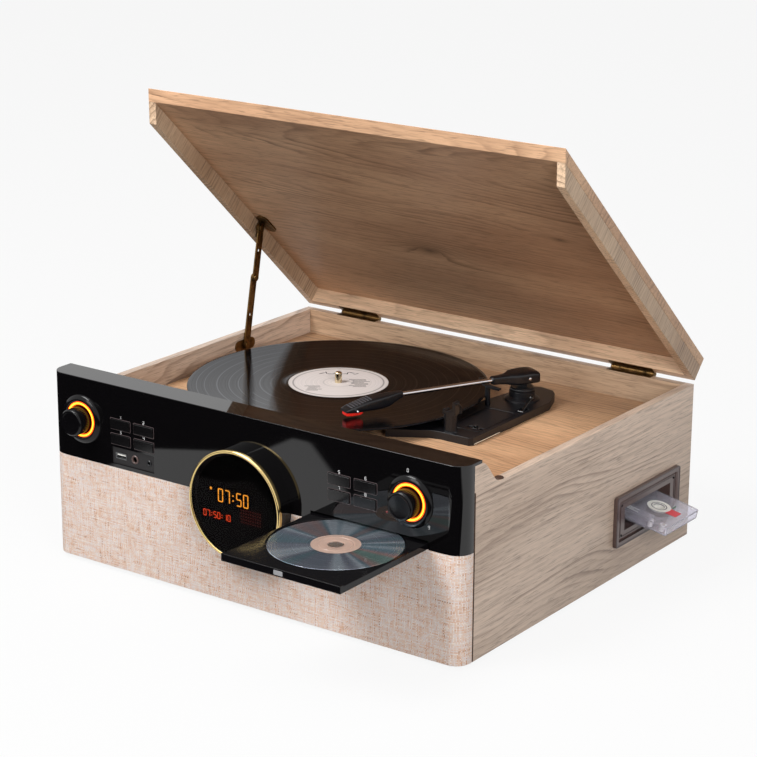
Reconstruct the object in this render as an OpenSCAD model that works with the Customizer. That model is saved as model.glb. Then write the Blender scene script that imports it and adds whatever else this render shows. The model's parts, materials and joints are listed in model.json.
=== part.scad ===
// Wooden table-top music centre: record player under a hinged lid, disc tray,
// side-loading cassette slot, round display and two front speakers.
// Millimetres. Every module is drawn with X to the right, Y back from the front
// face and Z up from the cabinet's underside; seated() then moves it so that the
// origin is the middle of the footprint on the surface that the feet stand on.

/* [Cabinet] */
// Width over the side panels
body_w = 478; // [460:1:520]
// Depth from the front face to the back face
body_d = 408; // [400:1:450]
// Height from the underside to the top of the closed lid
body_h = 185; // [180:1:200]
// Thickness of the side panels
side_t = 9; // [7:0.5:12]
// Thickness of the back panel
back_t = 9; // [7:0.5:12]
// Thickness of the bottom panel
bottom_t = 8; // [6:0.5:12]
// Depth of the deck's upper face under the side panels' upper edges
well_h = 26; // [24:0.5:30]
// Thickness of the deck board
deck_t = 8; // [6:0.5:9]
// Height of the rubber feet
foot_h = 4; // [3:0.5:10]
// Radius of the rubber feet
foot_r = 11; // [8:0.5:15]
// Distance of the feet's centres from the cabinet's edges
foot_inset = 34; // [25:1:60]

/* [Front assembly] */
// Depth of the grille and panel in front of the side panels
front_d = 18; // [16:0.5:22]
// Radius of the rounded vertical corners
corner_r = 15; // [8:0.5:15.5]
// Height of the glossy panel
panel_h = 82; // [80:0.5:86]
// Wall of the glossy panel's moulding
panel_t = 3; // [2:0.25:4]
// Depth of the panel's top cap, front to back
cap_d = 29; // [27:0.5:34]
// Thickness of the top cap
cap_t = 3; // [2:0.25:4]
// Thickness of the grille cloth
cloth_t = 1.2; // [0.8:0.1:2]
// Depth of the S-shaped ramp behind the cap
ramp_d = 29; // [25:0.5:36]

/* [Display] */
// Radius of the round display
display_r = 53; // [46:0.5:55]
// How far the display stands out of the panel
display_out = 17; // [12:0.5:22]
// Width of the gold ring
ring_w = 3; // [2:0.25:5]
// Depth of the gold ring
ring_d = 4; // [2.5:0.25:6]
// Rise of the domed lens
lens_rise = 2; // [1:0.25:4]

/* [Knobs and buttons] */
// Distance of the left knob's middle from the left side
left_knob_in = 40; // [39:0.5:46]
// Distance of the right knob's middle from the right side
right_knob_in = 55; // [49:0.5:58]
// Height of both knobs over the panel's lower edge
knob_up = 40.5; // [38:0.5:43]
// Radius of the knobs
knob_r = 13.3; // [11:0.1:13.6]
// How far the knobs stand out of the panel
knob_out = 17; // [13:0.5:22]
// Radius of the glossy dish round each knob
dish_r = 24; // [22.5:0.25:25]
// Height of the dish's crest over the panel
dish_out = 3.2; // [2.5:0.1:4.5]
// Radial width of the glowing ring
glow_w = 3.4; // [2:0.1:4]
// Width of a button
button_w = 23.6; // [18:0.2:25]
// Height of a button
button_h = 9.6; // [7:0.2:11]
// Sideways pitch of the buttons
button_pitch_x = 29; // [28:0.25:31]
// Upright pitch of the buttons
button_pitch_z = 15; // [14:0.25:17]
// Height of the middle of each button group over the panel's lower edge
buttons_up = 36.2; // [35:0.1:40]
// Distance from the left knob to the middle of its buttons
left_buttons_gap = 63.2; // [61:0.2:65]
// Distance from the right knob to the middle of its buttons
right_buttons_gap = 62.4; // [60:0.2:66]
// Travel of a button
button_travel = 1; // [0.5:0.1:1.5]

/* [Ports] */
// Width of the port plate
port_plate_w = 53; // [50:0.5:56]
// Height of the port plate
port_plate_h = 17; // [15:0.25:18]
// Height of the port plate's middle over the panel's lower edge
ports_up = 12.2; // [11.5:0.1:14]
// Depth of the port sockets
port_depth = 11; // [9:0.5:13]

/* [Disc tray] */
// Width of the disc tray
tray_w = 127; // [125:0.5:131]
// Length of the disc tray
tray_len = 167; // [158:1:172]
// Height of the tray's front bezel
tray_h = 7; // [6.5:0.25:8]
// How far the tray's middle lies left of the middle between display and right side
tray_shift = 6.5; // [5:0.5:8]
// How far the tray stands out of the panel at rest
tray_out = 127; // [110:1:130]
// Radius of the compact disc
disc_r = 60; // [59.5:0.1:60.5]
// Distance from the tray's front to the disc's centre
disc_from_front = 79; // [77:0.5:84]

/* [Turntable] */
// Gap between the record and the left side panel
record_gap = 16.7; // [13:0.1:20]
// Distance of the spindle from the back face
spindle_back = 181.5; // [178:0.5:186]
// Radius of the spindle
spindle_r = 3.55; // [3.5:0.01:3.6]
// Radius of the record
record_r = 150.8; // [148:0.2:152]
// Thickness of the record
record_t = 1.7; // [1.4:0.1:2.2]
// Radius of the platter
platter_r = 102; // [90:1:104]
// Height of the platter
platter_h = 13.3; // [12:0.1:15]
// Gap between deck and platter
platter_gap = 2; // [1.5:0.1:3]
// Radius of the platter's inner drive rim
drive_rim_r = 60; // [50:1:68]
// Distance from spindle to motor pulley
pulley_reach = 75; // [73:0.5:78]
// Radius of the motor pulley
pulley_r = 6; // [4:0.25:7]

/* [Tonearm] */
// How far the tonearm's pivot lies right of the spindle
pivot_right = 160.5; // [158:0.5:163]
// How far the tonearm's pivot lies behind the spindle
pivot_behind = 88.5; // [85:0.5:92]
// Length from pivot to stylus
arm_len = 190; // [188:0.5:193]
// Angle of the arm from straight ahead, at rest over the record
arm_angle = 27; // [24:0.5:30]
// Radius of the tonearm's tube
tube_r = 3; // [2.5:0.1:3.5]
// Height of the tube's axis over the record
tube_over_record = 14.5; // [13.5:0.1:16]
// Thickness of the tonearm's base plate
arm_base_h = 8; // [6:0.25:9]
// Distance from pivot to arm rest
arm_rest_reach = 126; // [120:1:130]
// Length of the headshell
head_len = 62; // [54:1:66]
// Distance of the speed switch in front of the pivot
speed_reach = 104; // [98:1:110]

/* [Lid, hinges and stay] */
// Thickness of the lid's top board
lid_t = 9.5; // [8:0.25:10]
// Opening angle of the lid at rest
lid_open = 43; // [30:1:48]
// Gap between the cabinet's walls and the closed lid
seam_gap = 1.6; // [1.4:0.1:2.4]
// Gap between the cap and the closed lid
lid_front_gap = 3; // [2:0.25:5]
// Slant of the lid's front ends from upright
lid_slant = 44; // [40:1:46]
// Height of the lid's side and back walls
lid_wall_h = 15.9; // [14:0.1:20]
// Distance of each hinge's middle from the side
hinge_in = 70; // [54:1:100]
// Width of a hinge
hinge_w = 50; // [40:1:60]
// Radius of a hinge's knuckles
knuckle_r = 2.5; // [2.2:0.1:3.2]
// Thickness of a hinge leaf
leaf_t = 0.6; // [0.5:0.05:0.65]
// Distance of the stay's wall pivot from the back face
stay_wall_back = 123; // [116:1:133]
// Distance of the stay's lid pivot from the back face, lid closed
stay_lid_back = 146; // [142:1:152]
// Length of the stay's lower arm between its pivots
stay_lower_len = 72; // [68:0.5:74]
// Width of the stay's arms
stay_w = 9; // [7:0.25:9.5]

/* [Cassette slot] */
// Distance of the slot's middle from the back face
slot_back = 89; // [83:1:96]
// Height of the slot's middle
slot_z = 57; // [52:0.5:60]
// Width of the cassette frame
slot_frame_w = 122; // [116:0.5:126]
// Height of the cassette frame
slot_frame_h = 51; // [46:0.5:56]
// Width of the slot
slot_w = 88; // [80:0.5:92]
// Height of the slot
slot_h = 23; // [20:0.5:26]
// Length of the cassette
cassette_len = 100.4; // [99:0.1:102]
// Width of the cassette
cassette_w = 63.8; // [62:0.1:65]
// Thickness of the cassette's thin part
cassette_t = 8.7; // [8:0.1:9.2]
// How far the cassette stands out at rest
cassette_out = 42; // [30:1:50]
// How far the half-inserted cassette tips down
cassette_droop = 12; // [0:1:14]

/* [Speakers] */
// Distance of the speakers' flanges from the grille's upper and lower edges
speaker_rim = 10.5; // [9:0.5:15]
// Distance of each speaker's middle from the side
speaker_in = 99; // [79:1:104]
// Depth of the speakers behind the baffle
speaker_d = 44; // [38:1:50]
// Radius of the speakers' magnets
magnet_r = 26; // [22:0.5:28]
// Depth of the speakers' magnets
magnet_h = 14; // [10:0.5:18]

/* [Rear sockets] */
// Width of the opening for the rear sockets
socket_hole_w = 64; // [58:1:80]
// Height of the opening for the rear sockets
socket_hole_h = 30; // [24:1:40]
// Distance of the rear sockets' middle from the right side
socket_in = 119; // [99:1:149]
// Height of the rear sockets
socket_z = 60; // [50:1:75]

/* [Clearances] */
// Running clearance of shafts and pins, on the radius
run_gap = 0.05; // [0.02:0.01:0.08]
// Clearance round buttons and under the tray
slide_gap = 0.1; // [0.06:0.01:0.2]
// Gap between moving faces
face_gap = 0.4; // [0.3:0.05:0.6]

/* [Hidden] */

$fn = 64;
cut = 1;
half_w = body_w / 2;
inner_w = body_w - 2 * side_t;
inner_back = body_d - back_t;
wall_top = body_h - lid_t - lid_wall_h - seam_gap;
deck_z = wall_top - well_h;
panel_z = body_h - panel_h;
horn_z = body_h - cap_t;

// Display
display_in = front_d - 2;
lens_r = display_r - ring_w;
housing_wall = 3;
module_t = 8;
glass_t = 4;

// Speakers and ports, whose places are measured from the middle of their plate
speaker_x = half_w - speaker_in;
speaker_z = panel_z / 2;
speaker_r = speaker_z - speaker_rim;
port_z = panel_z + ports_up;
usb_w = 13.6;
usb_h = 6;
usb_x = -15.5;
jack_x = 2;
jack_r = 3.25;
mini_x = 19.5;
mini_r = 1.8;

// Knobs and buttons: the control board stands between the panel and its rear skirt
left_knob_x = -half_w + left_knob_in;
right_knob_x = half_w - right_knob_in;
knob_z = panel_z + knob_up;
left_buttons_x = left_knob_x + left_buttons_gap;
right_buttons_x = right_knob_x - right_buttons_gap;
button_z = panel_z + buttons_up;
skirt_t = 2.5;
skirt_y = cap_d - skirt_t;
board_t = 1.6;
board_y = front_d + 1;
neck_r = dish_r - 3;
glow_in_r = knob_r + 0.9;
glow_out_r = glow_in_r + glow_w;
shaft_r = 3;
shaft_out = knob_out - 5;
flange_t = 1.2;
flange_rim = 1.2;
switch_d = 3;

// Disc tray
tray_x = (display_r + half_w) / 2 - tray_shift;
tray_plate_h = tray_h - 1.2;
tray_z = panel_z + 0.5;
tray_front_y = -tray_out;
disc_y = tray_front_y + disc_from_front;
disc_t = 1.2;
disc_sunk = 0.5;
rail_w = 5;
rail_t = 2.4;
sheet_t = 1.6;
chassis_gap = 0.8;
chassis_y = board_y + board_t + 1;
chassis_d = 154;

// Turntable
spindle_x = -inner_w / 2 + record_gap + record_r;
spindle_y = body_d - spindle_back;
platter_z = deck_z + platter_gap;
record_z = platter_z + platter_h;
record_top = record_z + record_t;
spindle_top = record_top + 11;
drive_rim_t = 2.5;
belt_t = 1.2;
belt_h = 5;
belt_gap = 0.15;
hub_lift = 0.5;
pulley_z = platter_z + hub_lift;
pulley_flange = 1;
pulley_x = spindle_x - pulley_reach;
motor_r = 18;
motor_h = 26;
motor_shaft_r = 1.5;

// Tonearm, drawn pointing straight ahead from its pivot and then turned
pivot_x = spindle_x + pivot_right;
pivot_y = spindle_y + pivot_behind;
tube_z = record_top + tube_over_record;
tube_start = 30;
head_start = arm_len + 7 - head_len;
arm_base_top = deck_z + arm_base_h;
base_right = 29;
base_front = 158;
base_back = 44;
base_w = 82;
pedestal_r = 13;
pedestal_h = 9;
post_base_h = 4;
post_pin_r = 4;
lift_pin_r = 1.5;
housing_w = 24;
housing_len = 54;
housing_back = 19;
housing_h = 13;
cavity_w = 12;
head_under = record_top + 4;
stylus_gap = 0.4;
speed_x = pivot_x + 14;
speed_y = pivot_y - speed_reach;
speed_slot_w = 18;
speed_slot_d = 5;
speed_slot_h = 3;
cue_x = pivot_x + 20;
cue_y = pivot_y - 32;
cue_slot_w = 8;
cue_slot_d = 14;
cue_slot_h = 5;
cue_pin_r = 1.2;
cue_pin_in = 3;
cue_pin_z = arm_base_top - 2.2;

// Lid and hinges
lid_wall_t = side_t;
hinge_x = half_w - hinge_in;
lid_z = wall_top + seam_gap;
lid_front_y = cap_d + lid_front_gap;
hinge_y = body_d + knuckle_r + 0.15;
hinge_z = wall_top + seam_gap / 2;
knuckles = 5;
knuckle_w = hinge_w / knuckles;
hinge_pin_r = knuckle_r - 1.3;

// Stay: two arms that lie in one straight line at rest
stay_wall_y = body_d - stay_wall_back;
stay_lid_y = body_d - stay_lid_back;
stay_wall_z = (deck_z + wall_top) / 2;
stay_lid_z = lid_z + 9;
stay_t = 1.6;
stay_pin_r = 2;
stay_plate_t = 1.5;
stay_lower_x = -inner_w / 2 + stay_plate_t + face_gap;
stay_upper_x = stay_lower_x + stay_t + face_gap;
lid_arm = [stay_lid_y - hinge_y, stay_lid_z - hinge_z];
stay_lid_open = [
    hinge_y + lid_arm[0] * cos(lid_open) + lid_arm[1] * sin(lid_open),
    hinge_z - lid_arm[0] * sin(lid_open) + lid_arm[1] * cos(lid_open)
];
stay_reach = norm(stay_lid_open - [stay_wall_y, stay_wall_z]);
stay_upper_len = stay_reach - stay_lower_len;
stay_angle = atan2(stay_lid_open[1] - stay_wall_z, stay_lid_open[0] - stay_wall_y);

// Cassette slot
slot_y = body_d - slot_back;
slot_lip = 4;
slot_plate_t = 2.6;
slot_neck = side_t + 2;
cassette_thick = cassette_t + 3.3;
hub_pitch = 42.5;
hub_r = 5.2;
well_gap = 1;

// Rear sockets and the mains board
socket_x = half_w - socket_in;
power_w = 150;
power_d = 100;
power_in = 40;
power_back = 20;
power_post_h = 6;
coil_w = 50;
coil_d = 56;
coil_h = 44;
coil_limb = 10;
capacitor_r = 8;
capacitor_h = 28;
capacitor_pitch = 26;
sink_w = 42;
sink_d = 26;
sink_h = 30;

// The cabinet's frame: front face at y = 0, underside at z = 0
module seated() {
    translate([0, -body_d / 2, foot_h]) children();
}

// Turns the closed lid up about its hinges
module opened() {
    translate([0, hinge_y, hinge_z])
        rotate([-lid_open, 0, 0])
            translate([0, -hinge_y, -hinge_z]) children();
}

// Local Z out of the front face, at a point of the face
module on_front(x, z) {
    translate([x, 0, z]) rotate([90, 0, 0]) children();
}

// Extrudes an outline in Y and Z across the width, from x0 to x0 + w
module across(x0, w) {
    translate([x0, 0, 0]) rotate([90, 0, 90]) linear_extrude(w) children();
}

// Rectangle with round corners, centred
module round_rect(w, h, r) {
    square([w - 2 * r, h], center = true);
    square([w, h - 2 * r], center = true);
    for (sx = [-1, 1], sy = [-1, 1])
        translate([sx * (w / 2 - r), sy * (h / 2 - r)]) circle(r);
}

// Plan of the front assembly: round front corners, square back
module front_plan(inset, depth) {
    w = body_w - 2 * inset;
    r = corner_r - inset;
    intersection() {
        translate([-w / 2, inset]) square([w, depth - inset]);
        union() {
            translate([-w / 2, inset + r]) square([w, depth]);
            translate([-w / 2 + r, inset]) square([w - 2 * r, depth]);
            for (side = [-1, 1]) translate([side * (w / 2 - r), inset + r]) circle(r);
        }
    }
}

// Flat bar with round ends from [0, 0] to [len, 0]
module link(len, w) {
    translate([0, -w / 2]) square([len, w]);
    for (x = [0, len]) translate([x, 0]) circle(w / 2);
}

// ---- Cabinet ----

// Side panel's outline: level upper edge, then an S-shaped ramp up to the cap
module side_outline() {
    ramp_steps = 14;
    ramp = [for (i = [0 : ramp_steps])
        let (t = i / ramp_steps)
        [cap_d + ramp_d * (1 - t), wall_top + (horn_z - wall_top) * (1 - cos(180 * t)) / 2]];
    polygon(concat([[front_d, 0], [body_d, 0], [body_d, wall_top]], ramp, [[front_d, horn_z]]));
}

module left_side_panel() {
    color("tan") seated() across(-half_w, side_t) side_outline();
}

module right_side_panel() {
    color("tan") seated() difference() {
        across(half_w - side_t, side_t) side_outline();
        translate([half_w - side_t / 2, slot_y, slot_z])
            cube([side_t + 2 * cut, slot_frame_w - 20, slot_frame_h - 12], center = true);
    }
}

module back_panel() {
    vents = 7;
    color("tan") seated() difference() {
        translate([-inner_w / 2, inner_back, bottom_t])
            cube([inner_w, back_t, wall_top - bottom_t]);
        translate([socket_x, body_d - back_t / 2, socket_z])
            cube([socket_hole_w, back_t + 2 * cut, socket_hole_h], center = true);
        for (i = [0 : vents - 1])
            translate([-socket_x + (i - (vents - 1) / 2) * 12, inner_back - cut, socket_z - 20])
                cube([5, back_t + 2 * cut, 40]);
    }
}

module bottom_panel() {
    color("peru") seated()
        translate([-inner_w / 2, front_d, 0]) cube([inner_w, inner_back - front_d, bottom_t]);
}

module deck_board() {
    color("burlywood") seated() difference() {
        translate([-inner_w / 2, cap_d, deck_z - deck_t])
            cube([inner_w, inner_back - cap_d, deck_t]);
        translate([spindle_x, spindle_y, deck_z - deck_t - cut])
            cylinder(r = spindle_r + 3, h = deck_t + 2 * cut);
        translate([pulley_x, spindle_y, deck_z - deck_t - cut])
            cylinder(r = pulley_r + 2, h = deck_t + 2 * cut);
    }
}

module rubber_feet() {
    color("dimgray") seated()
        for (x = [-1, 1], y = [foot_inset, body_d - foot_inset])
            translate([x * (half_w - foot_inset), y, -foot_h])
                cylinder(r1 = foot_r - 1.5, r2 = foot_r, h = foot_h);
}

module lid_bumpers() {
    color("saddlebrown") seated()
        for (side = [-1, 1])
            translate([side * (half_w - side_t / 2), cap_d + ramp_d + side_t / 2, wall_top])
                cylinder(r = side_t / 2 - 1, h = seam_gap - 0.2);
}

// ---- Front assembly ----

module tray_slot() {
    translate([tray_x - tray_w / 2 - chassis_gap, -cut, panel_z - cut])
        cube([tray_w + 2 * chassis_gap, front_d + 2 * cut, tray_h + 1.3 + cut]);
}

module front_panel() {
    boss_r = 3.2;
    color("black") seated() difference() {
        union() {
            difference() {
                translate([0, 0, panel_z])
                    linear_extrude(body_h - panel_z) front_plan(0, front_d);
                translate([0, 0, panel_z - cut])
                    linear_extrude(body_h - cap_t - panel_z + cut) front_plan(panel_t, front_d + cut);
            }
            translate([0, 0, body_h - cap_t]) linear_extrude(cap_t) front_plan(0, cap_d);
            translate([-inner_w / 2, skirt_y, deck_z - deck_t])
                cube([inner_w, skirt_t, body_h - cap_t - deck_z + deck_t]);
            for (x = [-half_w + corner_r + 4, -70, 70, half_w - corner_r - 4])
                on_front(x, body_h - cap_t - boss_r - 3)
                    translate([0, 0, -board_y]) cylinder(r = boss_r, h = board_y - panel_t + 0.5);
        }
        on_front(0, panel_z)
            translate([0, 0, -panel_t - cut]) cylinder(r = display_r, h = panel_t + 2 * cut, $fn = 96);
        for (x = [left_knob_x, right_knob_x])
            on_front(x, knob_z) translate([0, 0, -panel_t - cut])
                cylinder(r = neck_r, h = panel_t + 2 * cut);
        for (p = button_places)
            on_front(p[0], p[1]) translate([0, 0, -panel_t - cut]) linear_extrude(panel_t + 2 * cut)
                square([button_w, button_h], center = true);
        on_front(left_buttons_x, port_z) translate([0, 0, -panel_t - cut])
            linear_extrude(panel_t + 2 * cut) square([port_plate_w, port_plate_h], center = true);
        tray_slot();
    }
}

module speaker_baffle() {
    color("sienna") seated() difference() {
        linear_extrude(panel_z) front_plan(cloth_t, front_d);
        on_front(0, panel_z)
            translate([0, 0, -front_d - cut]) cylinder(r = display_r, h = front_d + 2 * cut, $fn = 96);
        for (side = [-1, 1])
            on_front(side * speaker_x, speaker_z)
                translate([0, 0, -front_d - cut]) cylinder(r = speaker_r - 5, h = front_d + 2 * cut);
    }
}

module grille_cloth() {
    color("bisque") seated() difference() {
        linear_extrude(panel_z) front_plan(0, front_d);
        translate([0, 0, -cut]) linear_extrude(panel_z + 2 * cut) front_plan(cloth_t, front_d + cut);
        on_front(0, panel_z)
            translate([0, 0, -cloth_t - cut]) cylinder(r = display_r, h = cloth_t + 2 * cut, $fn = 96);
    }
}

// Two full-range drivers: a pressed basket with its magnet, and a paper cone
module speakers() {
    neck = magnet_r - 6;
    seated() for (side = [-1, 1]) on_front(side * speaker_x, speaker_z) {
        color("dimgray") translate([0, 0, -front_d]) mirror([0, 0, 1]) rotate_extrude() polygon([
            [speaker_r - 5, 0], [speaker_r, 0], [speaker_r, 2], [speaker_r - 3, 2],
            [neck + 2, speaker_d - magnet_h], [magnet_r, speaker_d - magnet_h],
            [magnet_r, speaker_d], [0, speaker_d], [0, speaker_d - magnet_h - 2],
            [neck, speaker_d - magnet_h - 2], [speaker_r - 5, 2]
        ]);
        color("black") translate([0, 0, -front_d]) mirror([0, 0, 1]) rotate_extrude() polygon([
            [neck - 8, speaker_d - magnet_h - 6], [speaker_r - 9, 1.5], [speaker_r - 5.3, 1.5],
            [speaker_r - 5.3, 0.5], [speaker_r - 9.5, 0.5], [neck - 9, speaker_d - magnet_h - 8],
            [0, speaker_d - magnet_h - 10], [0, speaker_d - magnet_h - 6]
        ]);
    }
}

// ---- Display ----

module display_housing() {
    front = display_out - ring_d;
    color("black") seated() on_front(0, panel_z) difference() {
        translate([0, 0, -display_in])
            cylinder(r = display_r, h = display_in + front, $fn = 96);
        translate([0, 0, -display_in + housing_wall])
            cylinder(r = lens_r - housing_wall, h = display_in + front, $fn = 96);
    }
}

module display_ring() {
    front = display_out - ring_d;
    round_r = ring_w / 3;
    color("gold") seated() on_front(0, panel_z) rotate_extrude($fn = 96)
        translate([lens_r, front]) {
            square([ring_w, ring_d - round_r]);
            translate([round_r, 0]) square([ring_w - 2 * round_r, ring_d]);
            for (x = [round_r, ring_w - round_r]) translate([x, ring_d - round_r]) circle(round_r, $fn = 24);
        }
}

// Lens: flat back, domed front, seated in the ring
module display_lens() {
    front = display_out - ring_d;
    dome_r = (lens_r * lens_r + lens_rise * lens_rise) / (2 * lens_rise);
    edge_t = ring_d - 1;
    color("darkslategray") seated() on_front(0, panel_z) rotate_extrude($fn = 96) intersection() {
        translate([0, front]) square([lens_r, edge_t + lens_rise]);
        translate([0, front + edge_t + lens_rise - dome_r]) circle(dome_r, $fn = 720);
    }
}

module display_module() {
    color("darkgreen") seated() on_front(0, panel_z) {
        translate([0, 0, -display_in + housing_wall])
            linear_extrude(module_t) round_rect(lens_r * 1.48, lens_r, 3);
        translate([0, 0, -display_in + housing_wall + module_t])
            linear_extrude(glass_t) round_rect(lens_r * 1.24, lens_r * 0.76, 1);
    }
}

// ---- Knobs, buttons and ports ----

module knob_dishes() {
    seat = glow_out_r + 0.1;
    color("black") seated() for (x = [left_knob_x, right_knob_x]) on_front(x, knob_z)
        rotate_extrude(convexity = 4) polygon([
            [knob_r + 0.8, -panel_t - 1], [neck_r, -panel_t - 1], [neck_r, 0], [dish_r, 0],
            [dish_r, 0.8], [dish_r - 1.5, 1.8], [seat + 1.2, dish_out], [seat, dish_out - 0.5],
            [seat, 1], [knob_r + 0.8, 1]
        ]);
}

module glow_rings() {
    color("orange") seated() for (x = [left_knob_x, right_knob_x]) on_front(x, knob_z)
        translate([0, 0, 1]) difference() {
            cylinder(r = glow_out_r, h = dish_out - 1.6);
            translate([0, 0, -cut]) cylinder(r = glow_in_r, h = dish_out + 2 * cut);
        }
}

// Knob with a rounded rim and a blind bore for its shaft
module knob(x) {
    base = 1.4;
    rim = 1.2;
    color("black") seated() on_front(x, knob_z) difference() {
        rotate_extrude() {
            translate([0, base]) square([knob_r, knob_out - base - rim]);
            square([knob_r - rim, knob_out]);
            translate([knob_r - rim, knob_out - rim]) circle(rim, $fn = 24);
        }
        translate([0, 0, -cut]) cylinder(r = knob_r + cut, h = base + cut);
        translate([0, 0, -cut]) cylinder(r = shaft_r + run_gap, h = shaft_out + cut + 0.5);
    }
}

module source_knob() { knob(left_knob_x); }
module volume_knob() { knob(right_knob_x); }

// Places of the eight buttons: left group, then right group, row by row
button_places = [for (gx = [left_buttons_x, right_buttons_x], row = [1, -1], col = [-1, 1])
    [gx + col * button_pitch_x / 2, button_z + row * button_pitch_z / 2]];

// Button: a cap in its opening, a flange behind the panel and a plunger to its switch
module button(i) {
    w = button_w - 2 * slide_gap;
    h = button_h - 2 * slide_gap;
    proud = button_travel + 0.4;
    flange_y = panel_t + run_gap;
    plunger = board_y - switch_d - button_travel - face_gap;
    color("black") seated() on_front(button_places[i][0], button_places[i][1]) {
        translate([0, 0, -flange_y]) linear_extrude(flange_y + proud) round_rect(w, h, 0.8);
        translate([0, 0, -flange_y - flange_t]) linear_extrude(flange_t)
            square([button_w + 2 * flange_rim, button_h + 2 * flange_rim], center = true);
        translate([0, 0, -plunger]) linear_extrude(plunger - flange_y) square(4, center = true);
    }
}

module repeat_button() { button(0); }
module skip_button() { button(1); }
module play_button() { button(2); }
module stop_button() { button(3); }
module band_button() { button(4); }
module eject_button() { button(5); }
module store_button() { button(6); }
module record_button() { button(7); }

// Recessed plate with a flat socket and two round jacks in a block behind it
module port_plate() {
    plate_y = 1.2;
    block_t = 1.5;
    color("black") seated() on_front(left_buttons_x, port_z) difference() {
        union() {
            translate([0, 0, -panel_t]) linear_extrude(panel_t - plate_y)
                square([port_plate_w, port_plate_h], center = true);
            translate([0, 0, -plate_y - port_depth - block_t])
                linear_extrude(port_depth + block_t - panel_t + plate_y)
                    square([port_plate_w - 4, port_plate_h - 4], center = true);
        }
        translate([usb_x, 0, -plate_y - port_depth]) linear_extrude(port_depth + cut)
            square([usb_w, usb_h], center = true);
        translate([jack_x, 0, -plate_y - port_depth]) cylinder(r = jack_r, h = port_depth + cut);
        translate([mini_x, 0, -plate_y - port_depth]) cylinder(r = mini_r, h = port_depth + cut);
    }
}

// Board behind the panel: knob encoders, button switches and the board itself
module control_board() {
    board_w = inner_w - 12;
    board_top = body_h - cap_t - 3;
    board_bottom = tray_z + tray_h + 3;
    color("seagreen") seated() {
        translate([-board_w / 2, board_y, board_bottom])
            cube([board_w, board_t, board_top - board_bottom]);
        for (x = [left_knob_x, right_knob_x]) on_front(x, knob_z) {
            translate([0, 0, -board_y]) linear_extrude(7) square(13, center = true);
            translate([0, 0, -board_y + 7]) cylinder(r = 4.5, h = 6);
            translate([0, 0, -board_y + 13]) cylinder(r = shaft_r, h = board_y - 13 + shaft_out);
        }
        for (p = button_places) on_front(p[0], p[1])
            translate([0, 0, -board_y]) linear_extrude(switch_d) square(6, center = true);
    }
}

// Mains board on the bottom panel: transformer, capacitors and a finned heat sink
module power_board() {
    fins = 6;
    fin_t = 2;
    post_in = 6;
    color("seagreen") seated()
        translate([-inner_w / 2 + power_in, inner_back - power_d - power_back, bottom_t]) {
            for (x = [post_in, power_w - post_in], y = [post_in, power_d - post_in])
                translate([x, y, 0]) cylinder(r = power_post_h / 2, h = power_post_h);
            translate([0, 0, power_post_h]) cube([power_w, power_d, board_t]);
            translate([0, 0, power_post_h + board_t]) {
                translate([power_w * 0.05, power_d * 0.2, 0]) {
                    cube([coil_w, coil_d, coil_limb]);
                    translate([coil_w * 0.12, 0, coil_limb])
                        cube([coil_w * 0.76, coil_d, coil_h - 2 * coil_limb]);
                    translate([0, 0, coil_h - coil_limb]) cube([coil_w, coil_d, coil_limb]);
                }
                for (i = [-1 : 1])
                    translate([power_w * 0.52, power_d * 0.48 + i * capacitor_pitch, 0])
                        cylinder(r = capacitor_r, h = capacitor_h);
                translate([power_w * 0.65, power_d * 0.2, 0]) {
                    cube([sink_w, sink_d * 0.23, sink_h]);
                    for (i = [0 : fins - 1])
                        translate([i * (sink_w - fin_t) / (fins - 1), 0, 0])
                            cube([fin_t, sink_d, sink_h]);
                }
            }
        }
}

module rear_socket_plate() {
    plate_w = socket_hole_w + 14;
    plate_h = socket_hole_h + 14;
    plate_t = 2;
    phono_h = 8;
    color("dimgray") seated() translate([socket_x, body_d, socket_z]) rotate([-90, 0, 0]) difference() {
        union() {
            linear_extrude(plate_t) round_rect(plate_w, plate_h, 3);
            for (x = [-24, -8]) translate([x, 0, 0]) {
                cylinder(r = 5.5, h = plate_t + 1.5);
                cylinder(r = 4.1, h = plate_t + phono_h);
            }
            translate([22, 0, 0]) cylinder(r = 6.5, h = plate_t + 3);
        }
        for (x = [-24, -8]) translate([x, 0, plate_t]) cylinder(r = 1.6, h = phono_h + cut);
        translate([22, 0, -cut]) cylinder(r = 3, h = plate_t + 3 + 2 * cut);
    }
}

// ---- Disc tray ----

// Tray: bezel, flat plate with the disc's recess, and the slot for the drive hub
module disc_tray() {
    bezel_t = 5;
    well_d = disc_t + run_gap + disc_sunk;
    hub_slot_r = 18;
    color("black") seated() translate([tray_x, tray_front_y, tray_z]) difference() {
        union() {
            translate([-tray_w / 2, 0, 0]) cube([tray_w, bezel_t, tray_h]);
            translate([-tray_w / 2, bezel_t, 0])
                cube([tray_w, tray_len - bezel_t, tray_plate_h]);
        }
        translate([0, disc_from_front, tray_plate_h - well_d])
            cylinder(r = disc_r + 1, h = well_d + cut, $fn = 96);
        translate([0, disc_from_front, -cut]) cylinder(r = hub_slot_r, h = tray_h + 2 * cut);
        translate([-hub_slot_r, disc_from_front, -cut])
            cube([2 * hub_slot_r, tray_len - disc_from_front - 12, tray_h + 2 * cut]);
    }
}

module compact_disc() {
    color("silver") seated()
        translate([tray_x, disc_y, tray_z + tray_plate_h - disc_t - disc_sunk]) difference() {
            cylinder(r = disc_r, h = disc_t, $fn = 96);
            translate([0, 0, -cut]) cylinder(r = 7.5, h = disc_t + 2 * cut);
        }
}

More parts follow.
